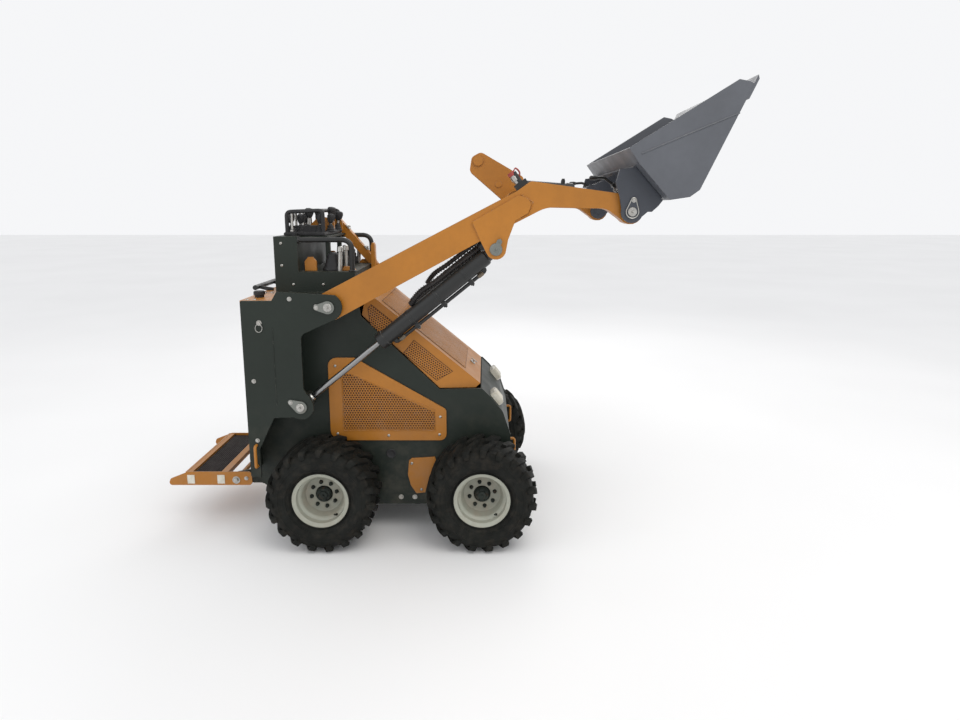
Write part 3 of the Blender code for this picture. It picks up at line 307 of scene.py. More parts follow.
FINISH.update({
    "rod": (steel("rod_steel", (0.30, 0.30, 0.30), 0.20, 0.05, (8, 8, 8)), "bright_steel"),
    "pipe": (steel("weathered_pipe", (0.20, 0.17, 0.13), 0.38, 0.4, (1, 1, 1)), "bright_steel"),
    # The disc's paint is darker than the rim's: painted shade inside the deep dish.
    "disc": (paint("disc_enamel_painted_dish_shade", (0.27, 0.275, 0.225), 0.55, 0.5, 0.7), "ivory"),
    "keeper": (steel("galvanised_keeper", (0.24, 0.25, 0.23), 0.42, 0.3, (6, 6, 6)), "bright_steel"),
    "hitch": (paint("hitch_enamel", (0.052, 0.058, 0.072), 0.44, 0.6, 0.22), "bucket_grey"),
    "hose": (plastic("hose_rubber", (0.018, 0.015, 0.014), 0.62, 0.35), "black_plastic"),
    "wrap": (plastic("spiral_wrap", (0.012, 0.010, 0.010), 0.42, 0.10), "black_plastic"),
    "red_cap": (plastic("red_dust_cap", (0.30, 0.045, 0.035), 0.45, 0.10), "black_plastic"),
    # Dark red-brown sheet behind the punched holes: painted shade standing in for the shaded space inside.
    "painted_shade_behind_mesh": (paint("painted_shade_behind_holes", (0.060, 0.020, 0.010), 0.75, 0.0, 0.15, 0.0),
                    "black_steel"),
})

# Nodes whose names start like this get a special finish, the others the one of their material slot.
SPECIAL = {
    "lift_rod": "rod", "tilt_rod": "rod", "bucket_hitch": "hitch", "bucket_pin": "hitch",
    "arm_pivot_pin": "keeper", "lift_foot_pin": "keeper", "lift_head_pin": "keeper",
}


def dress_nodes():
    """Puts the finishes on the CAD nodes."""
    for part in record["subparts"]:
        node = part["node"]
        special = [finish for start, finish in SPECIAL.items() if node.startswith(start)]
        wanted = FINISH[special[0] if special else part["material_slot"]][0]
        for material_slot in frame["nodes"][node].material_slots:
            material_slot.material = wanted


# ---------------------------------------------------------------- shapes, added to a bmesh
def basis(axis):
    axis = Vector(axis).normalized()
    across = Vector((0, 0, 1)).cross(axis)
    across = across.normalized() if across.length > 0.1 else Vector((1, 0, 0))
    return axis, across, axis.cross(across)


def ring_of(bm, centre, across, up, radius, sides):
    angles = (2 * pi * k / sides for k in range(sides))
    return [bm.verts.new(centre + (across * cos(a) + up * sin(a)) * radius) for a in angles]


def bridge(bm, a, b):
    count = len(a)
    for k in range(count):
        bm.faces.new([a[k], a[(k + 1) % count], b[(k + 1) % count], b[k]])


def cap_ends(bm, rings):
    bm.faces.new(rings[0][::-1])
    bm.faces.new(rings[-1])


def add_turned(bm, profile, origin, axis, sides=48, closed=False):
    """(distance along, radius) points spun about an axis: a ring if closed, otherwise with capped ends."""
    axis, across, up = basis(axis)
    rings = [ring_of(bm, Vector(origin) + axis * along, across, up, max(radius, 1e-5), sides)
             for along, radius in profile]
    for a, b in zip(rings, rings[1:]):
        bridge(bm, a, b)
    if closed:
        bridge(bm, rings[-1], rings[0])
    else:
        cap_ends(bm, rings)


def add_plate(bm, outline, origin, u, v, thickness):
    """A flat outline of (u, v) points, thickened along u x v."""
    u, v = Vector(u).normalized(), Vector(v).normalized()
    n = u.cross(v) * thickness
    base = [bm.verts.new(Vector(origin) + u * a + v * b) for a, b in outline]
    top = [bm.verts.new(vert.co + n) for vert in base]
    bm.faces.new(base[::-1])
    bm.faces.new(top)
    bridge(bm, base, top)


def add_slab(bm, outline, origin, u, v, out, thickness):
    """Like add_plate, but always thickened towards out."""
    along = Vector(u).cross(Vector(v)).dot(Vector(out))
    add_plate(bm, outline, origin, u, v, thickness if along > 0 else -thickness)


def add_prism(bm, outline, y0, y1):
    """An (x, z) outline stretched from y0 to y1."""
    ends = [[bm.verts.new((x, y, z)) for x, z in outline] for y in (y0, y1)]
    bm.faces.new(ends[0])
    bm.faces.new(ends[1][::-1])
    bridge(bm, *ends)


def add_box(bm, lowest, highest):
    lowest, highest = Vector(lowest), Vector(highest)
    size = highest - lowest
    add_plate(bm, [(0, 0), (size.x, 0), (size.x, size.y), (0, size.y)], lowest, (1, 0, 0), (0, 1, 0), size.z)


def add_tube(bm, points, radius, sides=16, radii=None):
    """A tube along points, with its own radius at each point if radii gives them."""
    points = [Vector(p) for p in points]
    last = len(points) - 1
    rings, across = [], None
    for i, point in enumerate(points):
        before = points[max(i, 1)] - points[max(i, 1) - 1]
        after = points[min(i + 1, last)] - points[min(i, last - 1)]
        along = (before.normalized() + after.normalized()).normalized()
        if across is None:
            across = basis(along)[1]
        across = (across - along * across.dot(along)).normalized()
        rings.append(ring_of(bm, point, across, along.cross(across), radii[i] if radii else radius, sides))
    for a, b in zip(rings, rings[1:]):
        bridge(bm, a, b)
    cap_ends(bm, rings)


def curved(points, steps=8):
    """A smooth path through points (Catmull-Rom)."""
    points = [Vector(p) for p in points]
    padded = [points[0] * 2 - points[1], *points, points[-1] * 2 - points[-2]]
    path = []
    for a, b, c, d in zip(padded, padded[1:], padded[2:], padded[3:]):
        for k in range(steps):
            t = k / steps
            path.append(0.5 * (2 * b + (c - a) * t + (2 * a - 5 * b + 4 * c - d) * t * t
                               + (3 * b - a - 3 * c + d) * t ** 3))
    return [*path, points[-1]]


def filleted(points, radius, steps=8):
    """A path of straight runs with rounded corners."""
    points = [Vector(p) for p in points]
    path = [points[0]]
    for before, here, after in zip(points, points[1:], points[2:]):
        start = here + (before - here).normalized() * radius
        end = here + (after - here).normalized() * radius
        for k in range(steps + 1):
            t = k / steps
            path.append(start * (1 - t) ** 2 + here * 2 * t * (1 - t) + end * t * t)
    return [*path, points[-1]]


def around(centre, radius, angle, out=0.0):
    """A point on a circle about an axis along Y, moved by out along it."""
    return centre + at(radius * cos(angle), out, radius * sin(angle))


def beaded(radius, count):
    """Radii for a tube that looks like a stacked weld bead."""
    return [radius * (1.0 if k % 2 else 0.8) for k in range(count)]


def add_weld(bm, a, b, radius=0.003, pitch=0.004):
    """A stacked bead from a to b."""
    a, b = Vector(a), Vector(b)
    count = max(4, int((b - a).length / pitch) * 2)
    points = [a.lerp(b, k / count) for k in range(count + 1)]
    add_tube(bm, points, radius, 8, beaded(radius, count + 1))


def add_weld_ring(bm, centre, radius, thickness):
    steps = 120
    points = [around(centre, radius, 2 * pi * k / steps) for k in range(steps + 1)]
    add_tube(bm, points, thickness, 6, beaded(thickness, steps + 1))


def add_bolt(bm, place, axis, across_flats=0.013, height=0.006):
    """A hex head with a chamfered top on a washer, standing on place along axis."""
    radius = across_flats / sqrt(3)
    add_turned(bm, [(0, radius * 1.55), (WASHER, radius * 1.55)], place, axis, 24)
    head = [(WASHER, radius), (WASHER + height * 0.85, radius), (WASHER + height, radius * 0.82)]
    add_turned(bm, head, place, axis, 6)


def add_button(bm, place, axis, radius=0.007, height=0.004):
    """A button-head screw with its socket."""
    dome = [(height * sin(t * pi / 10), radius * cos(t * pi / 10)) for t in range(5)]
    add_turned(bm, [*dome, (height * 0.98, radius * 0.34), (height * 0.45, radius * 0.30)], place, axis, 20)


def add_nipple(bm, place, axis):
    """A grease nipple."""
    add_turned(bm, [(0, 0.0042), (0.003, 0.0042), (0.003, 0.0028), (0.007, 0.0026), (0.0085, 0.0034),
                    (0.0105, 0.0026), (0.0115, 0.001)], place, axis, 14)


def piece(name, bm, finish, body="chassis", angle=32, stands_for=()):
    """Turns a bmesh into a named piece in one of the finishes, riding on a body."""
    material, slot = FINISH[finish]
    bmesh.ops.recalc_face_normals(bm, faces=bm.faces)
    mesh = bpy.data.meshes.new(name)
    bm.to_mesh(mesh)
    bm.free()
    mesh.materials.append(material)
    mesh.shade_smooth()
    mesh.set_sharp_from_angle(angle=radians(angle))
    obj = bpy.data.objects.new(name, mesh)
    bpy.context.scene.collection.objects.link(obj)
    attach(obj, body)
    if stands_for:
        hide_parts(*stands_for)
    return obj


# ---------------------------------------------------------------- wheels
def tyre_section(radius, half, bead):
    """Half of the carcass profile as (y, r), from the bead over the sidewall to the middle of the tread."""
    wall = radius - bead
    return [
        (half * 0.755, bead), (half * 0.79, bead + 0.006), (half * 0.85, bead + 0.012),
        (half * 0.80, bead + 0.017), (half * 0.90, bead + wall * 0.22), (half * 0.905, bead + wall * 0.25),
        (half * 0.945, bead + wall * 0.27), (half * 0.965, bead + wall * 0.42),
        (half * 0.96, bead + wall * 0.55), (half * 0.935, bead + wall * 0.66),
        (half * 0.89, radius - TREAD_DEPTH - 0.016), (half * 0.80, radius - TREAD_DEPTH - 0.006),
        (half * 0.62, radius - TREAD_DEPTH - 0.001),
        (half * 0.30, radius - TREAD_DEPTH + 0.001), (0.0, radius - TREAD_DEPTH + 0.0015),
    ]


def add_lug(bm, centre, side, start, radius, half, flip):
    """One tread bar: from the middle of the tread it leans round to the shoulder and down the sidewall."""
    path = [
        (-0.06, 0.0, radius - 0.0004, 0.0105), (0.22, 0.055, radius - 0.0002, 0.0125),
        (0.45, 0.120, radius - 0.0006, 0.0135), (0.68, 0.175, radius - 0.0022, 0.0145),
        (0.86, 0.215, radius - 0.0075, 0.0150), (0.955, 0.235, radius - 0.0200, 0.0140),
        (0.985, 0.240, radius - 0.0380, 0.0110),
    ]
    rings = []
    for y, lean, top, width in path:
        angle = start + flip * lean
        y_place = y * half * flip
        base_y = y_place if y < 0.8 else flip * half * (y - 0.11)
        base = radius - TREAD_DEPTH - 0.004 if y < 0.8 else top - 0.004
        corners = []
        for r, w, yy in ((base, width + 0.003, base_y), (top, width - 0.001, y_place),
                         (top, -width + 0.001, y_place), (base, -width - 0.003, base_y)):
            a = angle + w / radius
            corners.append(bm.verts.new(centre + Vector((r * cos(a), yy * side, r * sin(a)))))
        rings.append(corners)
    for a, b in zip(rings, rings[1:]):
        bridge(bm, a, b)
    bm.faces.new(rings[0])
    bm.faces.new(rings[-1])


def make_tyre(name, body, centre, side):
    """The carcass with its two sidewall ribs and two rows of slanting lugs."""
    radius = (high(name).z - low(name).z) / 2 - 0.0003
    half = (high(name).y - low(name).y) / 2
    rim = name.replace("tyre", "rim")
    rim_radius = (high(rim).z - low(rim).z) / 2
    section = tyre_section(radius, half, rim_radius - BEAD_LIP)
    bm = bmesh.new()
    profile = [(-y, r) for y, r in section] + [(y, r) for y, r in reversed(section[:-1])]
    add_turned(bm, profile, centre, (0, 1, 0), 96, closed=True)
    for y, share in ((0.952, 0.30), (0.968, 0.47)):
        place = rim_radius + (radius - rim_radius) * share
        for flip in (1, -1):
            inner, outer = flip * half * (y - 0.03), flip * half * (y + 0.012)
            rib = [(inner, place - 0.004), (outer, place - 0.001), (outer, place + 0.001),
                   (inner, place + 0.004)]
            add_turned(bm, rib, centre, (0, 1, 0), 96, closed=True)
    for k in range(LUGS):
        for flip in (1, -1):
            start = 2 * pi * (k + (0.5 if flip < 0 else 0.0)) / LUGS
            add_lug(bm, centre, side, start, radius, half, flip)
    piece(f"{name}_tread", bm, "tyre_rubber", body, 30, [name])


def make_rim_barrel(name, body, centre, axis, half, bead):
    """The stepped drop-centre barrel."""
    radius = bead + BEAD_LIP
    outside = [
        (-half, radius - 0.004), (-half + 0.002, radius), (-half + 0.006, radius - 0.001),
        (-half + 0.008, bead),
        (-half + 0.040, bead - 0.004), (-half + 0.055, bead - 0.012), (half - 0.070, bead - 0.014),
        (half - 0.045, bead - 0.006), (half - 0.030, bead - 0.002), (half - 0.008, bead),
        (half - 0.006, radius - 0.001), (half - 0.002, radius), (half, radius - 0.004),
    ]
    inside = [
        (half - 0.003, radius - 0.009), (half - 0.008, bead - 0.006), (half - 0.028, bead - 0.008),
        (half - 0.032, bead - 0.014), (DISC_FACE + 0.034, bead - 0.018), (DISC_FACE + 0.030, bead - 0.020),
        (DISC_FACE + 0.020, bead - 0.016), (-half + 0.060, bead - 0.019), (-half + 0.045, bead - 0.011),
        (-half + 0.004, bead - 0.006),
    ]
    bm = bmesh.new()
    add_turned(bm, [*outside, *inside], centre, axis, 96, closed=True)
    piece(f"{name}_barrel", bm, "ivory", body, 30, [name])


def make_rim(name, body, centre, side):
    """A drop-centre rim with a deep coned disc, its nuts on the flat and its valve."""
    half = (high(name).y - low(name).y) / 2
    bead = (high(name).z - low(name).z) / 2 - BEAD_LIP
    axis = at(0, side, 0)
    make_rim_barrel(name, body, centre, axis, half, bead)
    bm = bmesh.new()
    front = [(-0.001, 0.0345), (0.0005, 0.036), (0, 0.040), (0, 0.070), (0.003, 0.076), (0.024, 0.084),
             (0.029, 0.088), (0.029, bead - 0.014)]
    front = [(DISC_FACE + along, reach) for along, reach in front]
    back = [(along - 0.007, reach) for along, reach in reversed(front)]
    add_turned(bm, [*front, *back], centre, axis, 96, closed=True)
    add_weld_ring(bm, centre + axis * (DISC_FACE + 0.030), bead - 0.0165, 0.0028)
    # The disc takes the darker finish, which is painted shade inside the dish.
    piece(f"{name}_disc", bm, "disc", body, 30)
    bm = bmesh.new()
    for k in range(WHEEL_NUTS):
        spot = around(centre, NUT_CIRCLE, 2 * pi * k / WHEEL_NUTS + 0.2, side * (DISC_FACE - 0.0005))
        add_turned(bm, [(0, 0.0088), (0.003, 0.0075)], spot, axis, 20)
        add_turned(bm, [(0.002, 0.0072), (0.010, 0.0072), (0.0115, 0.0060)], spot, axis, 6)
        add_turned(bm, [(0.010, 0.0036), (0.0155, 0.0034)], spot, axis, 12)
    foot = around(centre, bead - 0.012, VALVE_ANGLE, side * (half - 0.034))
    inward = at(-cos(VALVE_ANGLE) * 0.5, side * 0.9, -sin(VALVE_ANGLE) * 0.5).normalized()
    stem = [(0, 0.0055), (0.006, 0.005), (0.008, 0.0036), (0.022, 0.0036), (0.0225, 0.0028)]
    add_turned(bm, stem, foot, inward, 14)
    piece(f"{name}_nuts", bm, "iron", body, 30)


def make_hub_cap(name, body, centre, side):
    """The hub's stepped nose with its grease plug and a ring of cap screws."""
    axis = (0, side, 0)
    nose = at(centre.x, side * (outer_face(name, side) - 0.0005), centre.z)
    bm = bmesh.new()
    steps = [(0, 0.0285), (0.003, 0.0285), (0.005, 0.026), (0.005, 0.018), (0.010, 0.017), (0.011, 0.014),
             (0.011, 0.006), (0.016, 0.005)]
    add_turned(bm, steps, nose, axis, 40)
    for k in range(6):
        spot = around(nose, 0.0225, 2 * pi * k / 6, side * 0.005)
        add_turned(bm, [(0, 0.0030), (0.0035, 0.0030), (0.0035, 0.0014), (0.0015, 0.0014)], spot, axis, 12)
    piece(f"{name}_nose", bm, "iron", body, 30)


def make_wheels():
    for end in ("front", "rear"):
        for name, side in SIDES:
            body = f"wheel_{end}_{name}"
            for part, make in (("tyre", make_tyre), ("rim", make_rim), ("hub", make_hub_cap)):
                make(f"{part}_{end}_{name}", body, joint_place(body), side)


# ---------------------------------------------------------------- perforated sheets and hood
def add_perforated(bm, outline, origin, u, v, pitch, hole, depth=0.0016):
    """A sheet with staggered round holes, cut off along a convex outline of (u, v) points."""
    u, v = Vector(u).normalized(), Vector(v).normalized()
    n = u.cross(v)
    local = bmesh.new()
    us, vs = [p[0] for p in outline], [p[1] for p in outline]
    row_step = pitch * sqrt(3) / 2
    corners = 12
    row, y = 0, min(vs) - pitch
    while y < max(vs) + pitch:
        x = min(us) - pitch + (pitch / 2 if row % 2 else 0)
        while x < max(us) + pitch:
            outer, inner, deep = [], [], []
            for k in range(corners):
                a = 2 * pi * k / corners + pi / 6
                reach = pitch / 2 if k % 2 else pitch / sqrt(3)
                outer.append(local.verts.new((x + reach * cos(a), y + reach * sin(a), 0)))
                inner.append(local.verts.new((x + hole * cos(a), y + hole * sin(a), 0)))
                deep.append(local.verts.new((x + hole * cos(a), y + hole * sin(a), -depth)))
            bridge(local, outer, inner)
            bridge(local, inner, deep)
            x += pitch
        y += row_step
        row += 1
    count = len(outline)
    centre = Vector((sum(us) / count, sum(vs) / count, 0))
    for k in range(count):
        a = Vector((*outline[k], 0))
        b = Vector((*outline[(k + 1) % count], 0))
        out = Vector(((b - a).y, -(b - a).x, 0))
        if out.dot(a - centre) < 0:
            out = -out
        geometry = [*local.verts, *local.edges, *local.faces]
        bmesh.ops.bisect_plane(local, geom=geometry, plane_co=a, plane_no=out, clear_outer=True)
    bmesh.ops.remove_doubles(local, verts=local.verts, dist=1e-5)
    place = Matrix((u, v, n)).transposed().to_4x4()
    place.translation = Vector(origin)
    bmesh.ops.transform(local, matrix=place, verts=local.verts)
    mesh = bpy.data.meshes.new("perforated")
    local.to_mesh(mesh)
    local.free()
    bm.from_mesh(mesh)
    bpy.data.meshes.remove(mesh)


def shrunk(outline, amount):
    """A convex outline moved in by amount on every side."""
    count = len(outline)
    centre = Vector((sum(p[0] for p in outline) / count, sum(p[1] for p in outline) / count))
    lines = []
    for k in range(count):
        a, b = Vector(outline[k]), Vector(outline[(k + 1) % count])
        out = Vector(((b - a).y, -(b - a).x)).normalized()
        if out.dot(a - centre) < 0:
            out = -out
        lines.append((a - out * amount, (b - a).normalized()))
    result = []
    for (p, d), (q, e) in zip([lines[-1], *lines[:-1]], lines):
        t = ((q - p).x * e.y - (q - p).y * e.x) / (d.x * e.y - d.y * e.x)
        result.append(tuple(p + d * t))
    return result


def make_patch(names, body, outline, u, v, back, front, holes):
    """A dark sheet of painted shade behind the holes and the punched sheet over it. back and front give
    (inset, origin, thickness).
    """
    shade_sheet, mesh = bmesh.new(), bmesh.new()
    inset, origin, thickness = back
    add_plate(shade_sheet, shrunk(outline, inset), origin, u, v, thickness)
    # The sheet behind the holes is painted shade.
    piece(names[0], shade_sheet, "painted_shade_behind_mesh", body)
    inset, origin, thickness = front
    add_perforated(mesh, shrunk(outline, inset), origin, u, v, *holes, thickness)
    piece(names[1], mesh, "orange", body)


def facing_out(outline, side):
    """(x, z) points of a side face and their first axis, turned so that a plate thickens outwards."""
    return [(-side * x, z) for x, z in outline], (-side, 0, 0)


def make_side_mesh(name, side):
    """The perforated insert in a side panel, the dark sheet of painted shade behind it, its rolled lip and
    the panel's screws.
    """
    node = f"side_panel_{name}"
    x0, x1 = low(node).x, high(node).x
    z0, z1 = low(node).z, high(node).z
    face = outer_face(node, side)
    window = [(x0 + 0.058, z0 + 0.046), (x1 - 0.050, z0 + 0.046), (x1 - 0.050, z0 + 0.136),
              (x0 + 0.094, z1 - 0.072), (x0 + 0.058, z1 - 0.072)]
    outline, u = facing_out(window, side)
    make_patch((f"side_mesh_painted_shade_{name}", f"side_mesh_{name}"), "chassis", outline, u, (0, 0, 1),
               (0.0012, (0, side * (face - 0.0028), 0), 0.0008),
               (0.0008, (0, side * (face - 0.0006), 0), 0.0014), (0.0112, 0.0039))
    bm = bmesh.new()
    path = [(x, side * (face - 0.0002), z) for x, z in shrunk(window, -0.002)]
    add_tube(bm, [*path, path[0]], 0.0022, 8)
    piece(f"side_mesh_lip_{name}", bm, "orange")
    bm = bmesh.new()
    for x, z in ((x0 + 0.030, z0 + 0.030), (x1 - 0.030, z0 + 0.026), (x1 - 0.026, z0 + 0.105),
                 (x0 + 0.030, z1 - 0.035), (x0 + 0.110, z1 - 0.028), ((x0 + x1) / 2, z0 + 0.022)):
        add_button(bm, (x, side * (face - 0.0003), z), (0, side, 0), 0.0065, 0.0035)
    piece(f"side_panel_screws_{name}", bm, "bright_steel")


def hood_line():
    """The rear and front ends of the hood's sloping top, the direction down it and its upward normal."""
    rear = joint_place("hood_hinge")
    rear.y = 0.0
    front = at(high("hood").x, 0, low("hood").z + 0.017)
    slope = (front - rear).normalized()
    return rear, front, slope, slope.cross(at(0, 1, 0))


def make_hood_patches():
    """Punched patches on the hood's leaning sides and on its top, each over a dark sheet of painted shade.
    """
    rear, front, slope, up = hood_line()
    patches = (
        ("rear", [(0.050, 0.030), (0.215, 0.030), (0.215, 0.108), (0.110, 0.108), (0.050, 0.052)]),
        ("front", [(0.285, 0.034), (0.500, 0.034), (0.470, 0.108), (0.285, 0.108)]),
    )
    for name, side in SIDES:
        edge = rear + at(0, side * HOOD_HALF, 0)
        u, v = slope * -side, (up - at(0, side * HOOD_LEAN, 0)).normalized()
        out = u.cross(v)
        for patch, corners in patches:
            make_patch((f"hood_painted_shade_{patch}_{name}", f"hood_mesh_{patch}_{name}"), "hood",
                       [(-side * a, -b) for a, b in corners], u, v,
                       (0, edge + out * 0.0003, 0.0007), (0.002, edge + out * 0.0022, 0.0011),
                       (0.0105, 0.0034))
    end = (front - rear).length - 0.085
    make_patch(("hood_top_painted_shade", "hood_top_mesh"), "hood",
               [(0.075, -0.205), (end, -0.205), (end, 0.205), (0.075, 0.205)], slope, (0, 1, 0),
               (0, rear + up * 0.0003, 0.0006), (0.002, rear + up * 0.0021, 0.0011), (0.0125, 0.0036))


def make_hood_fittings():
    """The hood's hinge leaves with their bolts, and its front latch."""
    rear, front, slope, up = hood_line()
    bm = bmesh.new()
    for y in (-0.16, 0.16):
        add_turned(bm, [(-0.03, 0.008), (0.03, 0.008)], rear + at(0.002, y, 0) + up * 0.006, (0, 1, 0), 20)
        add_plate(bm, [(0, -0.028), (0.045, -0.028), (0.045, 0.028), (0, 0.028)],
                  rear + at(0, y, 0) + up * 0.0005, slope, (0, 1, 0), 0.002)
    piece("hood_hinge_leaves", bm, "black_steel", "hood")
    bm = bmesh.new()
    for y in (-0.178, -0.142, 0.142, 0.178):
        add_bolt(bm, rear + slope * 0.030 + at(0, y, 0) + up * 0.0024, up, 0.009, 0.004)
    latch = front - slope * 0.050
    knob = [(0, 0.014), (0.003, 0.014), (0.005, 0.012), (0.005, 0.004), (0.012, 0.004), (0.012, 0.0)]
    add_turned(bm, knob, latch + up * 0.0002, up, 28)
    add_plate(bm, [(-0.016, -0.004), (0.016, -0.004), (0.016, 0.004), (-0.016, 0.004)],
              latch + up * 0.011, slope, (0, 1, 0), 0.004)
    piece("hood_latch_and_bolts", bm, "bright_steel", "hood")


# ---------------------------------------------------------------- cylinders
def rod_eye(name):
    """The middle of a lift rod's eye."""
    corner = low(f"lift_rod_{name}")
    return at(corner.x + ROD_EYE, joint_place(f"lift_barrel_{name}").y, corner.z + ROD_EYE)


def lift_line(name):
    """A lift cylinder's head pin, its direction to the foot, the way down and the gland's distance."""
    head = joint_place(f"lift_barrel_{name}")
    axis = Vector(JOINT[f"lift_rod_{name}"]["axis"]).normalized()
    return head, axis, at(-axis.z, 0, axis.x), (rod_eye(name) - head).length - ROD_SHOWING


def make_lift_barrel(name):
    """The barrel with its weld collar and gland, the head eye and two ports."""
    head, axis, below, gland = lift_line(name)
    radius = BARREL_RADIUS
    bm = bmesh.new()
    tube = [(0.020, 0.0245), (0.046, 0.0255), (0.050, radius - 0.002), (0.056, radius),
            (gland - 0.036, radius), (gland - 0.034, radius + 0.0025), (gland - 0.006, radius + 0.0025),
            (gland - 0.002, radius - 0.001), (gland - 0.001, 0.021), (gland, 0.0135)]
    add_turned(bm, tube, head, axis, 64)
    eye = [(-0.029, 0.0178), (-0.029, 0.027), (-0.027, 0.0295), (0.027, 0.0295), (0.029, 0.027),
           (0.029, 0.0178)]
    add_turned(bm, eye, head, (0, 1, 0), 48, closed=True)
    for along in (0.090, gland - 0.060):
        spot = head + axis * along + below * (radius - 0.006)
        add_turned(bm, [(0, 0.012), (0.014, 0.011), (0.014, 0.0085), (0.018, 0.0085)], spot, below, 24)
    body = f"lift_barrel_{name}"
    piece(f"lift_cylinder_body_{name}", bm, "black_steel", body, 30, [body])
    bm = bmesh.new()
    collar = [(-0.006, 0.0122), (0.0, 0.0175), (0.010, 0.0175), (0.014, 0.0135)]
    add_turned(bm, collar, rod_eye(name) - axis * 0.044, axis, 32)
    piece(f"lift_rod_weld_{name}", bm, "bright_steel", f"lift_rod_{name}")


def make_lift_pipe(name):
    """The oil pipe under a barrel, with its clamps, banjo blocks and union nuts. The pipe is thick, black
    and close under the barrel: a real oil line that also serves as painted shade along the barrel's
    underside.
    """
    head, axis, below, gland = lift_line(name)
    radius = BARREL_RADIUS
    line = radius + 0.0095
    first, last = 0.090, gland - 0.060
    bm = bmesh.new()
    run = ((first, radius + 0.002), (first, line), (first + 0.03, line), (last - 0.03, line), (last, line),
           (last, radius + 0.002))
    run = [head + axis * along + below * reach for along, reach in run]
    # Thick black pipe close to the barrel: a real oil line, and painted shade along the barrel's underside.
    add_tube(bm, filleted(run, 0.005), 0.0075, 16)
    for along in (0.16, 0.30, 0.44):
        spot = head + axis * along
        band = [(-0.006, radius - 0.0005), (-0.006, radius + 0.0014), (0.006, radius + 0.0014),
                (0.006, radius - 0.0005)]
        add_turned(bm, band, spot, axis, 48, closed=True)
        tab = [(-0.008, radius - 0.002), (0.008, radius - 0.002), (0.008, radius + 0.021),
               (-0.008, radius + 0.021)]
        add_slab(bm, tab, spot - at(0, 0.009, 0), axis, below, (0, 1, 0), 0.018)
        add_bolt(bm, spot + below * (radius + 0.021), below, 0.008, 0.004)
    for along in (first, last):
        add_turned(bm, [(radius - 0.004, 0.0105), (radius + 0.004, 0.0105)], head + axis * along, below, 6)
    piece(f"lift_oil_pipe_{name}", bm, "black_steel", f"lift_barrel_{name}", 30)
    bm = bmesh.new()
    for along in (0.112, gland - 0.088):
        spot = head + axis * along + below * line
        add_turned(bm, [(-0.009, 0.0105), (0.009, 0.0105)], spot, axis, 6)
        add_turned(bm, [(-0.013, 0.0088), (0.013, 0.0088)], spot, axis, 20)
    piece(f"lift_pipe_nuts_{name}", bm, "pipe", f"lift_barrel_{name}", 30)


def make_lift_hoses(name, side):
    """Three hoses in a spiral wrap, lying along the top of a barrel."""
    head, axis, below, _ = lift_line(name)
    above = -below
    body = f"lift_barrel_{name}"
    route = ((0.050, 0.010), (0.105, 0.012), (0.185, 0.014), (0.270, 0.016), (0.335, 0.022), (0.375, 0.017),
             (0.410, 0.006))
    bundle = []
    for k, (along, lift) in enumerate(route):
        sway = side * (0.004 if k % 2 else -0.003)
        bundle.append(head + axis * along + above * (BARREL_RADIUS + lift) + at(0, sway, 0))
    path = curved(bundle, 10)
    bm = bmesh.new()
    for angle in (0.4, 2.5, 4.6):
        drift = above * (0.0062 * cos(angle)) + at(0, 0.0062 * sin(angle), 0)
        add_tube(bm, [p + drift for p in path], 0.0058, 12)
    piece(f"lift_hoses_{name}", bm, "hose", body, 40)
    bm = bmesh.new()
    wrap = []
    steps, turns = 420, 26
    for k in range(steps + 1):
        t = k / steps * (len(path) - 1)
        i = min(int(t), len(path) - 2)
        angle = 2 * pi * turns * k / steps
        here = path[i].lerp(path[i + 1], t - i)
        wrap.append(here + above * (0.0132 * cos(angle)) + at(0, 0.0132 * sin(angle), 0))
    add_tube(bm, wrap, 0.0019, 6)
    piece(f"lift_hose_wrap_{name}", bm, "wrap", body, 60)


def make_tilt_trim():
    """The tilt cylinder's two ports and its gland ring."""
    foot = joint_place("tilt_barrel")
    axis = Vector(JOINT["tilt_rod"]["axis"]).normalized()
    gland = (high("tilt_barrel").x - foot.x) / axis.x
    up = at(-axis.z, 0, axis.x)
    bm = bmesh.new()
    port = [(0.022, 0.010), (0.040, 0.009), (0.040, 0.007), (0.046, 0.007)]
    for along in (0.060, gland - 0.050):
        add_turned(bm, port, foot + axis * along, up, 24)
    ring = [(gland - 0.004, 0.0135), (gland - 0.004, 0.024), (gland + 0.002, 0.022),
            (gland + 0.002, 0.0135)]
    add_turned(bm, ring, foot, axis, 40, closed=True)
    piece("tilt_cylinder_ports", bm, "black_steel", "tilt_barrel")


# ---------------------------------------------------------------- arms, pins and couplers
def add_keeper_edge_highlight(bm, spot, side, angle):
    """A raised teardrop line round a pin and its keeper's tab, in bright steel: a painted highlight along
    the keeper's edge.
    """
    tab = around(spot, 0.044, angle)
    outline = [around(spot, 0.024, angle + radians(turn)) for turn in range(62, 300, 14)]
    outline += [around(tab, 0.0095, angle + radians(turn)) for turn in range(-60, 61, 20)]
    add_tube(bm, [point + at(0, side * 0.0004, 0) for point in [*outline, outline[0]]], 0.0024, 8)


def make_pin_trim(name, side):
    """Bolts on the keepers, centre marks and grease nipples on the pins of one side."""
    axis = (0, side, 0)
    for node, body, centre, angle in ((f"arm_pivot_pin_{name}", "chassis", joint_place("lift"), 180),
                                      (f"bucket_pin_{name}", "bucket", joint_place("bucket_tilt"), 85),
                                      (f"lift_foot_pin_{name}", "chassis", rod_eye(name), 150)):
        spot = at(centre.x, side * outer_face(node, side), centre.z)
        bm = bmesh.new()
        mark = [(-0.001, 0.0172), (0.0032, 0.0172), (0.0045, 0.0158), (0.0045, 0.005), (0.003, 0.004)]
        add_turned(bm, mark, spot, axis, 40)
        add_bolt(bm, around(spot, 0.044, radians(angle)), axis, 0.010, 0.0045)
        add_nipple(bm, spot + at(0, side * 0.003, 0), axis)
        # The bucket pin's keeper gets a bright line round it as a painted highlight on its edge.
        if body == "bucket":
            add_keeper_edge_highlight(bm, spot, side, radians(angle))
        piece(f"{node}_trim", bm, "bright_steel", body)


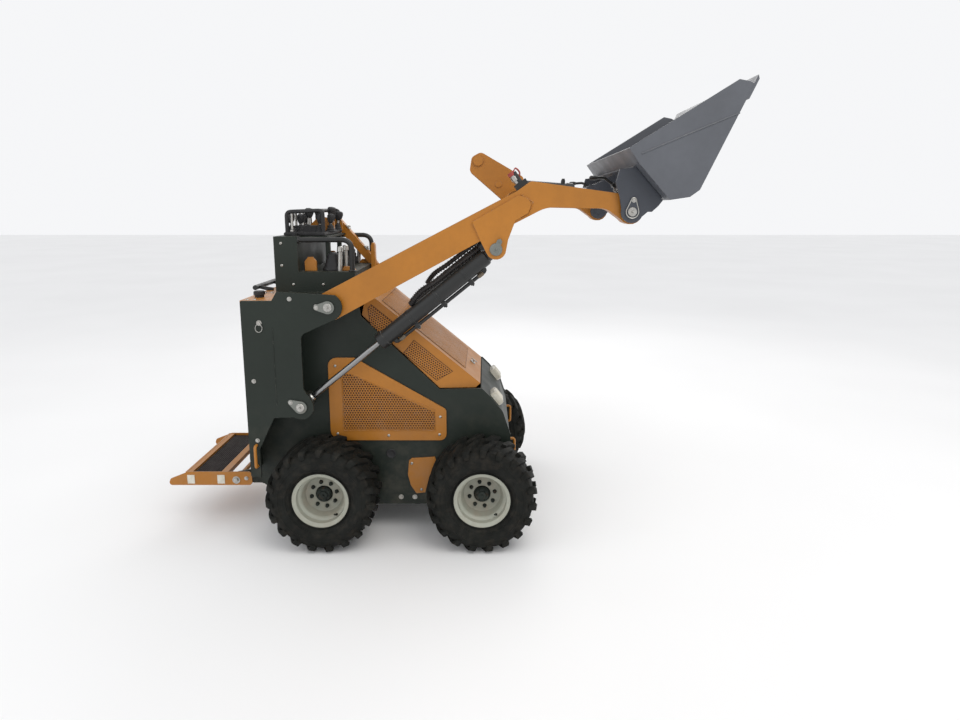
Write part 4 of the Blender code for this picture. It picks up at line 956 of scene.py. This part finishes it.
def make_head_pin_trim(name, side):
    """The lift cylinder's head pin: its stepped cap, its locking tab and bolt, and a nipple."""
    node = f"lift_head_pin_{name}"
    axis = (0, side, 0)
    centre = joint_place(f"lift_barrel_{name}")
    spot = at(centre.x, side * outer_face(node, side), centre.z)
    bm = bmesh.new()
    cap = [(-0.001, 0.0235), (0.002, 0.0235), (0.0035, 0.021), (0.0035, 0.006), (0.002, 0.005)]
    add_turned(bm, cap, spot, axis, 40)
    tab = [(-0.010, -0.012), (0.038, -0.010), (0.046, 0.0), (0.038, 0.010), (-0.010, 0.012)]
    u = at(0.40, 0, 0.92).normalized()
    add_slab(bm, tab, spot + at(0, side * 0.0002, 0), u, Vector(axis).cross(u), axis, 0.004)
    add_bolt(bm, spot + u * 0.036 + at(0, side * 0.004, 0), axis, 0.009, 0.004)
    add_nipple(bm, spot + at(0, side * 0.002, 0), axis)
    piece(f"{node}_trim", bm, "keeper", "lift_arms")


def make_couplers():
    """The auxiliary quick couplers with red caps, on the arm's elbow."""
    box_low, box_high = low("aux_coupler_block"), high("aux_coupler_block")
    along, up = at(0.814, 0, 0.581), at(-0.581, 0, 0.814)
    foot = at(box_low.x + 0.033, (box_low.y + box_high.y) / 2, box_low.z + 0.022)
    sleeves, caps = bmesh.new(), bmesh.new()
    sleeve = [(0, 0.0100), (0.012, 0.0100), (0.012, 0.0132), (0.030, 0.0132), (0.030, 0.0115),
              (0.036, 0.0115)]
    cap = [(0.034, 0.0120), (0.036, 0.0140), (0.048, 0.0140), (0.050, 0.0125), (0.050, 0.004)]
    for y in (-0.017, 0.017):
        spot = foot + at(0, y, 0) + up * 0.008
        add_turned(sleeves, sleeve, spot, up, 32)
        add_turned(caps, cap, spot, up, 32)
        strap = ((0.046, 0.012), (0.052, 0.026), (0.030, 0.030), (0.010, 0.014))
        add_tube(caps, curved([spot + up * a + along * b for a, b in strap], 8), 0.0022, 8)
    piece("aux_coupler_sleeves", sleeves, "bright_steel", "lift_arms")
    piece("aux_coupler_caps", caps, "red_cap", "lift_arms")


def make_arm_trim(name, side):
    """Weld beads round an arm's gusset, and two oil lines clipped inside the arm."""
    bm = bmesh.new()
    pin = joint_place(f"lift_barrel_{name}")
    pin.y = side * GUSSET_FACE
    path = [(-0.093, 0.106), (0.070, 0.112), (0.126, 0.132), (0.144, 0.182), (0.095, 0.212)]
    path = [pin + at(x, 0, z) for x, z in path]
    for a, b in zip(path, path[1:]):
        add_weld(bm, a, b, 0.0026)
    piece(f"arm_gusset_weld_{name}", bm, "orange", "lift_arms")
    bm = bmesh.new()
    pivot = joint_place("lift")
    pivot.y = side * OIL_LINE
    run = [pivot + at(x, 0, z) for x, z in ((0.070, 0.060), (0.300, 0.178), (0.560, 0.315), (0.700, 0.400))]
    for drop in (0.0, 0.016):
        add_tube(bm, curved([p - at(0, 0, drop) for p in run], 10), 0.0055, 14)
    near, far = (-0.008, 0.012) if side > 0 else (-0.012, 0.008)
    for clip in run[1:3]:
        add_box(bm, clip + at(-0.010, near, -0.030), clip + at(0.010, far, 0.012))
    piece(f"arm_oil_lines_{name}", bm, "black_steel", "lift_arms")


# ---------------------------------------------------------------- bucket
def make_bucket_side(name, side):
    """The pressed rib and the welded lower edge on a side of the bucket."""
    pivot = joint_place("bucket_tilt")
    half = high("bucket").y
    bm = bmesh.new()
    crease = [(0.012, 0.212), (0.190, 0.286), (0.362, 0.356)]
    add_tube(bm, [pivot + at(x, side * (half - 0.0012), z) for x, z in crease], 0.0035, 10)
    corner = [(0.010, 0.180), (0.120, 0.062), (0.190, 0.068), (0.222, 0.092)]
    path = [pivot + at(x, side * (half - 0.003), z) for x, z in corner]
    for a, b in zip(path, path[1:]):
        add_weld(bm, a, b, 0.0028)
    piece(f"bucket_side_rib_{name}", bm, "bucket_grey", "bucket")


def make_bucket_trim():
    """The cutting edge's bolts and the welds inside the bucket."""
    pivot = joint_place("bucket_tilt")
    heel = pivot + at(0.233, 0, 0.081)
    along = (pivot + at(0.423, 0, 0.488) - heel).normalized()
    under = at(along.z, 0, -along.x)
    bm = bmesh.new()
    for k in range(7):
        spot = heel + along * 0.405 + at(0, -0.42 + 0.14 * k, 0)
        add_turned(bm, [(0, 0.0125), (0.004, 0.0105), (0.0042, 0.004)], spot - under * 0.0066, -under, 28)
        add_bolt(bm, spot + under * 0.0085, under, 0.016, 0.006)
    piece("bucket_edge_bolts", bm, "iron", "bucket")
    bm = bmesh.new()
    foot = pivot + at(0.123, 0, 0.044)
    back = (pivot + at(0.006, 0, 0.175) - foot).normalized()
    inward = at(back.z, 0, -back.x)
    for y in (-0.28, 0.0, 0.28):
        start = foot + back * 0.02 + inward * 0.0075 + at(0, y, 0)
        add_tube(bm, [start, start + back * 0.12], 0.003, 8)
    piece("bucket_inside_welds", bm, "bucket_grey", "bucket")


def make_hitch_trim(name, side):
    """A latch lever with its grip and its coiled spring on the quick hitch."""
    base = joint_place("bucket_tilt") + at(-0.045, side * 0.285, 0.105)
    bm = bmesh.new()
    add_turned(bm, [(-0.018, 0.010), (0.018, 0.010)], base, (0, 1, 0), 24)
    lever = filleted([base, base + at(-0.040, 0, 0.030), base + at(-0.075, side * 0.020, 0.028)], 0.012)
    add_tube(bm, lever, 0.006, 12)
    add_turned(bm, [(0, 0.007), (0.010, 0.0095), (0.028, 0.009), (0.032, 0.005)],
               base + at(-0.072, side * 0.018, 0.028), (-0.95, side * 0.3, 0), 20)
    piece(f"hitch_latch_lever_{name}", bm, "black_steel", "bucket")
    bm = bmesh.new()
    start, end = base + at(0, 0, -0.014), base + at(0.040, 0, -0.048)
    _, across, up = basis(end - start)
    steps, turns = 160, 10
    spring = []
    for k in range(steps + 1):
        angle = 2 * pi * turns * k / steps
        spring.append(start.lerp(end, k / steps) + (across * cos(angle) + up * sin(angle)) * 0.0075)
    add_tube(bm, spring, 0.0014, 6)
    piece(f"hitch_latch_spring_{name}", bm, "bright_steel", "bucket", 60)


# ---------------------------------------------------------------- frame and body trim
def add_loop(bm, place, out, height, depth, thickness):
    """A bent bar loop standing out from a face."""
    out, top = Vector(out), at(0, 0, height / 2)
    path = [place + top, place + top + out * depth, place - top + out * depth, place - top]
    add_tube(bm, filleted(path, 0.010), thickness, 16)


def make_frame_side(name, side):
    """One side's tie-down loops, lower cover, frame plug, tower fold line and tower welds."""
    front_axle, ear = joint_place("wheel_front_left"), joint_place("lift")
    tower_x, outer = low("tower_plate_left").x, high("tower_plate_left").y
    bm = bmesh.new()
    nose = at(high("nose_plate").x - 0.001, side * 0.235, front_axle.z + 0.128)
    add_loop(bm, nose, (1, 0, 0), 0.080, 0.024, 0.006)
    add_loop(bm, at(tower_x + 0.028, side * (outer - 0.001), 0.394), (0, side, 0), 0.090, 0.020, 0.0062)
    piece(f"tiedown_loops_{name}", bm, "orange")
    bm = bmesh.new()
    x0 = front_axle.x - LOWER_COVER
    cover = [(0, 0.318), (0.012, 0.330), (0.112, 0.336), (0.118, 0.316), (0.088, 0.250), (0.068, 0.172),
             (0.030, 0.168), (0.006, 0.205), (-0.006, 0.255)]
    outline, u = facing_out([(x0 + x, z) for x, z in cover], side)
    add_plate(bm, outline, (0, side * (FRAME_FACE + 0.0003), 0), u, (0, 0, 1), 0.004)
    piece(f"lower_cover_{name}", bm, "orange")
    bm = bmesh.new()
    add_turned(bm, [(0, 0.021), (0.002, 0.021), (0.0035, 0.018), (0.002, 0.015), (0.0018, 0.004)],
               (front_axle.x - 0.394, side * (FRAME_FACE + 0.0004), 0.350), (0, side, 0), 40)
    piece(f"frame_plug_{name}", bm, "black_plastic")
    bm = bmesh.new()
    fold = tower_x + 0.121
    add_tube(bm, [(fold, side * outer, ear.z - 0.400), (fold, side * outer, ear.z - 0.080)], 0.0016, 8)
    piece(f"tower_fold_{name}", bm, "body_grey")
    bm = bmesh.new()
    web = tower_x + 0.142
    for y in (FRAME_FACE + 0.004, outer - 0.012):
        add_weld(bm, (web, side * y, ear.z - 0.42), (web, side * y, ear.z - 0.02), 0.003)
    piece(f"tower_weld_{name}", bm, "body_grey")


def make_side_bolts(name, side):
    """The bolts on one side of the frame and tower, and the tower's latch ring."""
    axis = (0, side, 0)
    outer = side * high("tower_plate_left").y
    ear, rear_axle = joint_place("lift"), joint_place("wheel_rear_left")
    x0 = joint_place("wheel_front_left").x - LOWER_COVER
    bm = bmesh.new()
    for x, z in ((x0 + 0.012, 0.306), (x0 + 0.052, 0.186)):
        add_button(bm, (x, side * (FRAME_FACE + 0.0042), z), axis, 0.0065, 0.0035)
    latch = at(ear.x - 0.275, outer, ear.z - 0.062)
    add_bolt(bm, latch, axis, 0.012, 0.006)
    ring = []
    for k in range(17):
        out = side * (0.005 + 0.004 * sin(k / 16 * pi))
        ring.append(latch + at(0.013 * cos(k / 8 * pi), out, -0.020 + 0.016 * sin(k / 8 * pi)))
    add_tube(bm, ring, 0.0016, 8)
    for x, z in ((-0.046, 0.004), (-0.310, -0.30), (-0.310, -0.55), (-0.150, 0.034)):
        add_bolt(bm, (ear.x + x, outer, ear.z + z), axis, 0.010, 0.005)
    for x in (0.30, 0.36):
        add_bolt(bm, (rear_axle.x + x, side * FRAME_FACE, 0.150), axis, 0.012, 0.006)
    piece(f"side_bolts_{name}", bm, "bright_steel")


def make_light(name):
    """A work light: a moulded housing with rounded corners, a ribbed lens and four screws."""
    node = f"work_light_{name}"
    along, across, out = at(0.626, 0, -0.780), at(0, 1, 0), at(0.780, 0, 0.626)
    centre = middle(node)
    half = (high(node).y - low(node).y) / 2
    corner = [(-0.031, 0.006 - half), (-0.025, -half), (0.025, -half), (0.031, 0.006 - half)]
    outline = [*corner, *((-a, -b) for a, b in corner)]

    def layer(bm, shrink_a, shrink_b, lift, thickness):
        shape = [(a * shrink_a, b * shrink_b) for a, b in outline]
        add_slab(bm, shape, centre + out * lift, along, across, out, thickness)

    bm = bmesh.new()
    layer(bm, 1, 1, -0.0135, 0.020)
    layer(bm, 0.93, 0.96, 0.0064, 0.0035)
    piece(f"{node}_housing", bm, "lamp", stands_for=[node], angle=30)
    bm = bmesh.new()
    layer(bm, 0.78, 0.86, 0.0098, 0.0024)
    for k in range(9):
        start = centre - along * 0.021 + across * ((k - 4) * half * 0.185) + out * 0.0122
        add_tube(bm, [start, start + along * 0.042], 0.0016, 8)
    piece(f"{node}_lens", bm, "lamp")
    bm = bmesh.new()
    for a in (-0.026, 0.026):
        for b in (0.008 - half, half - 0.008):
            add_button(bm, centre + along * a + across * b + out * 0.0098, out, 0.0035, 0.002)
    piece(f"{node}_screws", bm, "bright_steel")


def make_rear_trim():
    """Rear panel fittings: corner bolts and two banks of hooded vents."""
    face = low("rear_deck").x
    top = high("rear_panel").z
    bm = bmesh.new()
    for y in (-0.39, -0.13, 0.13, 0.39):
        for drop in (0.030, 0.36, 0.70):
            add_bolt(bm, (face, y, top - drop), (-1, 0, 0), 0.011, 0.005)
    piece("rear_panel_bolts", bm, "bright_steel")
    bm = bmesh.new()
    for k in range(8):
        z = top - 0.150 - 0.030 * k
        for y in (-0.20, 0.20):
            add_prism(bm, [(face - 0.0105, z - 0.011), (face + 0.001, z + 0.009), (face + 0.001, z - 0.011)],
                      y - 0.085, y + 0.085)
    piece("rear_vent_louvres", bm, "body_grey")


def make_deck_trim():
    """The filler cap with its grips, and the deck's screws."""
    cap_low, cap_high = low("filler_cap"), high("filler_cap")
    radius = (cap_high.x - cap_low.x) / 2
    height = cap_high.z - cap_low.z
    base = middle("filler_cap")
    base.z = cap_low.z
    bm = bmesh.new()
    add_turned(bm, [(0, radius * 0.78), (height * 0.38, radius * 0.78), (height * 0.40, radius * 0.96),
                    (height * 0.9, radius * 0.93), (height, radius * 0.82), (height * 0.96, radius * 0.3)],
               base, (0, 0, 1), 48)
    for k in range(12):
        a = 2 * pi * k / 12
        spot = base + at(cos(a), sin(a), 0) * (radius * 0.90) + at(0, 0, height * 0.42)
        add_tube(bm, [spot, spot + at(0, 0, height * 0.46)], 0.0022, 8)
    piece("filler_cap_grips", bm, "black_plastic", stands_for=["filler_cap"], angle=30)
    deck_low, deck_high = low("rear_deck"), high("rear_deck")
    bm = bmesh.new()
    for x in (deck_low.x + 0.022, deck_high.x - 0.090):
        for y in (-0.395, 0.395, -0.180, 0.180):
            add_button(bm, (x, y, deck_high.z), (0, 0, 1), 0.0075, 0.004)
    piece("rear_deck_screws", bm, "bright_steel")


def make_console_side(name, side):
    """A smooth hand rail with its end collars, and the console's side screws."""
    node = f"console_rail_{name}"
    box_low, box_high = low(node), high(node)
    r = 0.011
    y, z = side * (outer_face(node, side) - r), box_high.z - r
    x0, x1 = box_low.x, box_high.x - r
    bm = bmesh.new()
    add_tube(bm, filleted([(x0, y, z), (x1, y, z), (x1, y, box_low.z)], 0.045, 14), r, 24)
    for spot, axis in (((x0 + 0.001, y, z), (1, 0, 0)), ((x1, y, box_low.z + 0.001), (0, 0, 1))):
        add_turned(bm, [(0, 0.0165), (0.004, 0.0165), (0.006, 0.0125)], spot, axis, 28)
    piece(f"console_hand_rail_{name}", bm, "black_steel", stands_for=[node], angle=30)
    rear_x, top = low("control_console").x, high("control_console").z
    bm = bmesh.new()
    for x, z in ((0.030, -0.028), (0.030, -0.120), (0.075, -0.200), (0.200, -0.200), (0.320, -0.200)):
        add_button(bm, (rear_x + x, side * CONSOLE_HALF, top + z), (0, side, 0), 0.0062, 0.0034)
    piece(f"console_screws_{name}", bm, "bright_steel")


def make_console_trim():
    """The dash's boots, spool posts and link plates, and the gauges and switches above."""
    rear_x, top = low("control_console").x, high("control_console").z
    dash = low("control_console").z + 0.103
    x_axis, z_axis = (1, 0, 0), (0, 0, 1)
    bm = bmesh.new()
    pleats = [(0.009 * k, 0.040 - 0.0026 * k + (0.004 if k % 2 else 0.0)) for k in range(9)]
    for y in (-0.175, 0.0, 0.175):
        add_turned(bm, [*pleats, (0.078, 0.008)], (rear_x + 0.225, y, dash), (0.05, 0, 1), 32)
    piece("console_lever_boots", bm, "black_plastic", angle=50)
    bm = bmesh.new()
    post = [(0, 0.010), (0.080, 0.009), (0.082, 0.014), (0.100, 0.013), (0.104, 0.006)]
    for y in (-0.205, -0.100, 0.205):
        add_turned(bm, post, (rear_x + 0.262, y, dash), (0.05, 0, 1), 24)
    piece("console_spool_posts", bm, "bright_steel")
    bm = bmesh.new()
    for y in (-0.200, 0.195):
        add_plate(bm, [(0, 0), (0.050, 0), (0.050, 0.040), (0.035, 0.058), (0.015, 0.058), (0, 0.040)],
                  (rear_x + 0.112, y, dash), x_axis, z_axis, -0.012)
        add_plate(bm, [(0, 0), (0.060, 0), (0.048, 0.018), (0.010, 0.018)],
                  (rear_x + 0.268, y + 0.004, dash), x_axis, z_axis, -0.014)
    piece("console_link_plates", bm, "orange")
    bm = bmesh.new()
    gauge = [(0, 0.026), (0.012, 0.026), (0.016, 0.023), (0.014, 0.021), (0.013, 0.004)]
    for y in (-0.125, 0.0, 0.125):
        add_turned(bm, gauge, (rear_x + 0.035, y, top), (-0.25, 0, 1), 40)
    for k in range(5):
        add_plate(bm, [(0, 0), (0.012, 0), (0.010, 0.012), (0.002, 0.009)],
                  (rear_x + 0.066, -0.205 + 0.030 * k, top), x_axis, z_axis, -0.018)
    piece("console_gauges_and_switches", bm, "black_plastic")


def add_lever(knobs, sticks, foot, height, lean, scale):
    """A gaiter, a bright stick and a ribbed knob."""
    axis = at(lean, 0, height)
    size = axis.length
    gaiter = [(0.005 * k, 0.021 - 0.0019 * k + (0.0022 if k % 2 else 0)) for k in range(7)]
    add_turned(knobs, [*gaiter, (0.036, 0.006)], foot, axis, 28)
    add_turned(sticks, [(0.020, 0.0048), (size - 0.036, 0.0048)], foot, axis, 16)
    shape = ((0.042, 0.0075), (0.036, 0.0100), (0.026, 0.0130), (0.016, 0.0150), (0.006, 0.0140),
             (0.001, 0.0095), (-0.001, 0.0030))
    knob = [(size - down, radius * scale) for down, radius in shape]
    add_turned(knobs, knob, foot, axis, 32)
    along, across, up = basis(axis)
    for k in range(8):
        rib = across * cos(2 * pi * k / 8) + up * sin(2 * pi * k / 8)
        add_tube(knobs, [foot + along * d + rib * (r + 0.0004) for d, r in knob[1:-1]], 0.0015, 6)


def add_lever_rail(rail, stays, rear_x, bottom, top):
    """The hand rail round the levers, with a row of bright stays along its rear edge."""
    x0, x1 = rear_x + 0.012, rear_x + 0.166
    half = 0.155
    for y in (-half, half):
        loop = [(x0, y, bottom), (x0, y, top), (x1, y, top + 0.006), (x1, y, bottom)]
        add_tube(rail, filleted(loop, 0.020, 8), 0.0085, 18)
    for x, z in ((x0 + 0.020, top), (x1 - 0.020, top + 0.005)):
        add_tube(rail, [(x, -half, z), (x, half, z)], 0.0080, 18)
    for k in range(6):
        x, y = x0 + 0.020, -0.150 + 0.060 * k
        add_tube(stays, [(x, y, bottom - 0.002), (x, y, top - 0.004)], 0.0062, 14)
        add_turned(stays, [(0, 0.011), (0.010, 0.011)], (x, y, bottom), (0, 0, 1), 6)


def make_levers():
    """The gate plate with its blocks, two rows of levers, their hand rail and the valve's cowl."""
    box_low, box_high = low("control_levers"), high("control_levers")
    rear_x = low("control_console").x
    plate_top = box_low.z + 0.014
    knobs, sticks = bmesh.new(), bmesh.new()
    add_box(knobs, box_low, (box_low.x + 0.174, box_high.y, plate_top))
    bmesh.ops.bevel(knobs, geom=list(knobs.edges), offset=0.003, segments=2, affect="EDGES")
    for y in (-0.085, 0.0, 0.085):
        add_box(knobs, (box_low.x + 0.020, y - 0.030, plate_top - 0.002),
                (box_low.x + 0.128, y + 0.030, plate_top + 0.026))
    for x, y, height, lean in LEVERS:
        add_lever(knobs, sticks, at(rear_x + x, y, plate_top - 0.004), height, lean, 1.25)
    for x, y in SHORT_LEVERS:
        add_lever(knobs, sticks, at(rear_x + x, y, plate_top - 0.004), 0.080, 0.004, 1.0)
    add_lever_rail(knobs, sticks, box_low.x, plate_top, box_high.z - 0.022)
    piece("control_lever_knobs", knobs, "black_plastic", stands_for=["control_levers"], angle=30)
    piece("control_lever_sticks", sticks, "bright_steel")
    bm = bmesh.new()
    arch = [(0.0, 0.0), (0.104, 0.0), (0.104, 0.040), (0.090, 0.056), (0.060, 0.062), (0.026, 0.056),
            (0.0, 0.030)]
    for y, flip in ((0.160, -1), (-0.020, 1)):
        add_slab(bm, arch, (rear_x + 0.098, y, plate_top), (1, 0, 0), (0, 0, 1), (0, flip, 0), 0.012)
    piece("control_valve_cowl", bm, "orange")


def add_guard_bar(bm, path, y0, y1, foot):
    """A flat bar along (x, z, depth) points, its depth inwards, kept inside the guard's foot."""
    rings = []
    for k, (x, z, depth) in enumerate(path):
        before, after = path[max(k - 1, 0)], path[min(k + 1, len(path) - 1)]
        along = Vector((after[0] - before[0], after[1] - before[1])).normalized()
        inner = (min(x + along.y * depth, foot.x), max(z - along.x * depth, foot.z))
        corners = (((x, z), y0), ((x, z), y1), (inner, y1), (inner, y0))
        rings.append([bm.verts.new((p[0], y, p[1])) for p, y in corners])
    for a, b in zip(rings, rings[1:]):
        bridge(bm, a, b)
    cap_ends(bm, rings)
    bmesh.ops.recalc_face_normals(bm, faces=bm.faces)
    bmesh.ops.bevel(bm, geom=list(bm.edges), offset=0.0035, segments=2, affect="EDGES", clamp_overlap=True)


def make_guard():
    """The wide bent guard bar with its upright lug, clamps and bolts."""
    lowest, highest = low("control_guard"), high("control_guard")
    y0, y1 = highest.y - 0.040, highest.y
    foot_x, top_x, bottom, top = highest.x, lowest.x, lowest.z, highest.z
    crown, knee = (top_x + 0.112, top - 0.008), (foot_x - 0.030, bottom + 0.118)
    path = [(top_x + 0.004, bottom + 0.231, 0.014), (top_x + 0.006, top - 0.022, 0.020),
            (top_x + 0.030, top - 0.010, 0.026), (top_x + 0.085, top, 0.034), (*crown, 0.040),
            (*knee, 0.036), (foot_x - 0.006, bottom + 0.080, 0.030), (foot_x, bottom + 0.050, 0.024),
            (foot_x, bottom, 0.022)]
    bm = bmesh.new()
    add_guard_bar(bm, path, y0, y1, at(foot_x, 0, bottom))
    x_axis, y_axis, z_axis = (1, 0, 0), (0, 1, 0), (0, 0, 1)
    lug = [(0.0, 0.0), (0.020, 0.0), (0.018, 0.174), (0.013, 0.186), (0.005, 0.186), (0.0, 0.172)]
    add_slab(bm, lug, (foot_x - 0.024, y0 - 0.075, bottom), x_axis, z_axis, y_axis, 0.040)
    base = [(0.0, 0.0), (0.024, 0.0), (0.024, 0.006), (0.0, 0.006)]
    add_slab(bm, base, (foot_x - 0.026, y0 - 0.073, bottom), x_axis, z_axis, y_axis, 0.111)
    piece("control_guard_bar", bm, "orange", stands_for=["control_guard"], angle=30)
    bm = bmesh.new()
    a, b = at(crown[0], 0, crown[1]), at(knee[0], 0, knee[1])
    slope = (b - a).normalized()
    out = at(-slope.z, 0, slope.x)
    strap = [(-0.012, -0.024), (0.012, -0.024), (0.012, 0.024), (-0.012, 0.024)]
    for share in (0.22, 0.78):
        spot = a.lerp(b, share) + at(0, (y0 + y1) / 2, 0) + out * 0.0003
        add_slab(bm, strap, spot, slope, y_axis, out, 0.004)
        for y in (-0.014, 0.014):
            add_bolt(bm, spot + out * 0.004 + at(0, y, 0), out, 0.008, 0.004)
    piece("control_guard_clamps", bm, "bright_steel")


# ---------------------------------------------------------------- platform trim
def make_platform_mat():
    """The footboard's ribbed mat."""
    lowest, highest = low("platform_mat"), high("platform_mat")
    foot, top = highest.z - 0.0032, highest.z
    bm = bmesh.new()
    add_box(bm, lowest, (highest.x, highest.y, top - 0.003))
    ribs = 13
    pitch = (highest.x - lowest.x) / ribs
    for k in range(ribs):
        x = lowest.x + pitch * (k + 0.5)
        wide, narrow = pitch * 0.34, pitch * 0.22
        ridge = [(x - wide, foot), (x - narrow, top), (x + narrow, top), (x + wide, foot)]
        add_prism(bm, ridge, lowest.y + 0.006, highest.y - 0.006)
    piece("platform_ribbed_mat", bm, "mat", "platform", 20, ["platform_mat"])


def make_platform_side(name, side):
    """The reflector strips and the pivot bolts on one skirt of the footboard."""
    pivot = joint_place("platform_fold")
    edge = high("platform").y
    y0, y1 = sorted((side * (edge - 0.001), side * (edge + 0.002)))
    bm = bmesh.new()
    for x in (pivot.x - 0.216, pivot.x - 0.083):
        add_box(bm, (x, y0, pivot.z - 0.016), (x + 0.032, y1, pivot.z + 0.024))
    piece(f"platform_reflectors_{name}", bm, "lamp", "platform")
    bm = bmesh.new()
    add_bolt(bm, (pivot.x, side * edge, pivot.z), (0, side, 0), 0.019, 0.009)
    add_bolt(bm, (pivot.x + 0.045, side * edge, pivot.z + 0.008), (0, side, 0), 0.010, 0.005)
    piece(f"platform_bolts_{name}", bm, "bright_steel", "platform")


# ---------------------------------------------------------------- floor, light and camera
def make_studio():
    ground = bpy.data.meshes.new("studio_floor")
    reach = 30.0
    ground.from_pydata([(-reach, -reach, 0), (reach, -reach, 0), (reach, reach, 0), (-reach, reach, 0)], [],
                       [(0, 1, 2, 3)])
    s = Shader("studio_floor_paint")
    tone = s.mix(s.spread(s.noise(0.6, 2), 0.3, 0.7), (0.86, 0.86, 0.86), (0.89, 0.89, 0.89))
    ground.materials.append(s.finish(tone, 0.9, 0.0, None, 0.0, 0.2))
    floor = bpy.data.objects.new("studio_floor", ground)
    bpy.context.scene.collection.objects.link(floor)
    floor.location.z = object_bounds()[0][2] - 0.0005
    world = bpy.data.worlds.new("studio")
    bpy.context.scene.world = world
    world.use_nodes = True
    sky = world.node_tree.nodes["Background"]
    sky.inputs["Color"].default_value = (0.98, 0.985, 1.0, 1)
    sky.inputs["Strength"].default_value = 0.94
    bpy.context.scene.view_settings.view_transform = "Standard"
    for name, place, size, energy, colour in (
            ("key", (1.8, -2.6, 4.6), 3.0, 62, (1.0, 0.97, 0.92)),
            ("fill", (-3.2, -3.0, 2.4), 3.5, 16, (0.94, 0.97, 1.0)),
            ("rim", (0.5, 3.6, 3.6), 3.0, 40, (1.0, 0.98, 0.95))):
        data = bpy.data.lights.new(name, "AREA")
        data.shape = "DISK"
        data.size = size
        data.energy = energy
        data.color = colour
        lamp = bpy.data.objects.new(name, data)
        bpy.context.scene.collection.objects.link(lamp)
        lamp.location = place
        aim = Vector((0.0, 0.0, 0.8)) - Vector(place)
        lamp.rotation_euler = aim.to_track_quat("-Z", "Y").to_euler()


def make_camera():
    data = bpy.data.cameras.new("camera")
    data.lens = 24.0
    data.sensor_width = 36.0
    data.shift_x = -0.0052
    data.shift_y = -0.0417
    camera = bpy.data.objects.new("camera", data)
    bpy.context.scene.collection.objects.link(camera)
    camera.location = (0.205, -2.923, 1.400)
    camera.rotation_euler = (radians(80), 0, 0)
    bpy.context.scene.camera = camera


make_camera()
dress_nodes()
make_wheels()
make_hood_patches()
make_hood_fittings()
for side_name, side_sign in SIDES:
    make_lift_barrel(side_name)
    make_lift_pipe(side_name)
    make_light(side_name)
    for make in (make_side_mesh, make_lift_hoses, make_pin_trim, make_head_pin_trim, make_arm_trim,
                 make_bucket_side, make_hitch_trim, make_frame_side, make_side_bolts, make_console_side,
                 make_platform_side):
        make(side_name, side_sign)
make_tilt_trim()
make_couplers()
make_bucket_trim()
make_rear_trim()
make_deck_trim()
make_console_trim()
make_levers()
make_guard()
make_platform_mat()
make_studio()
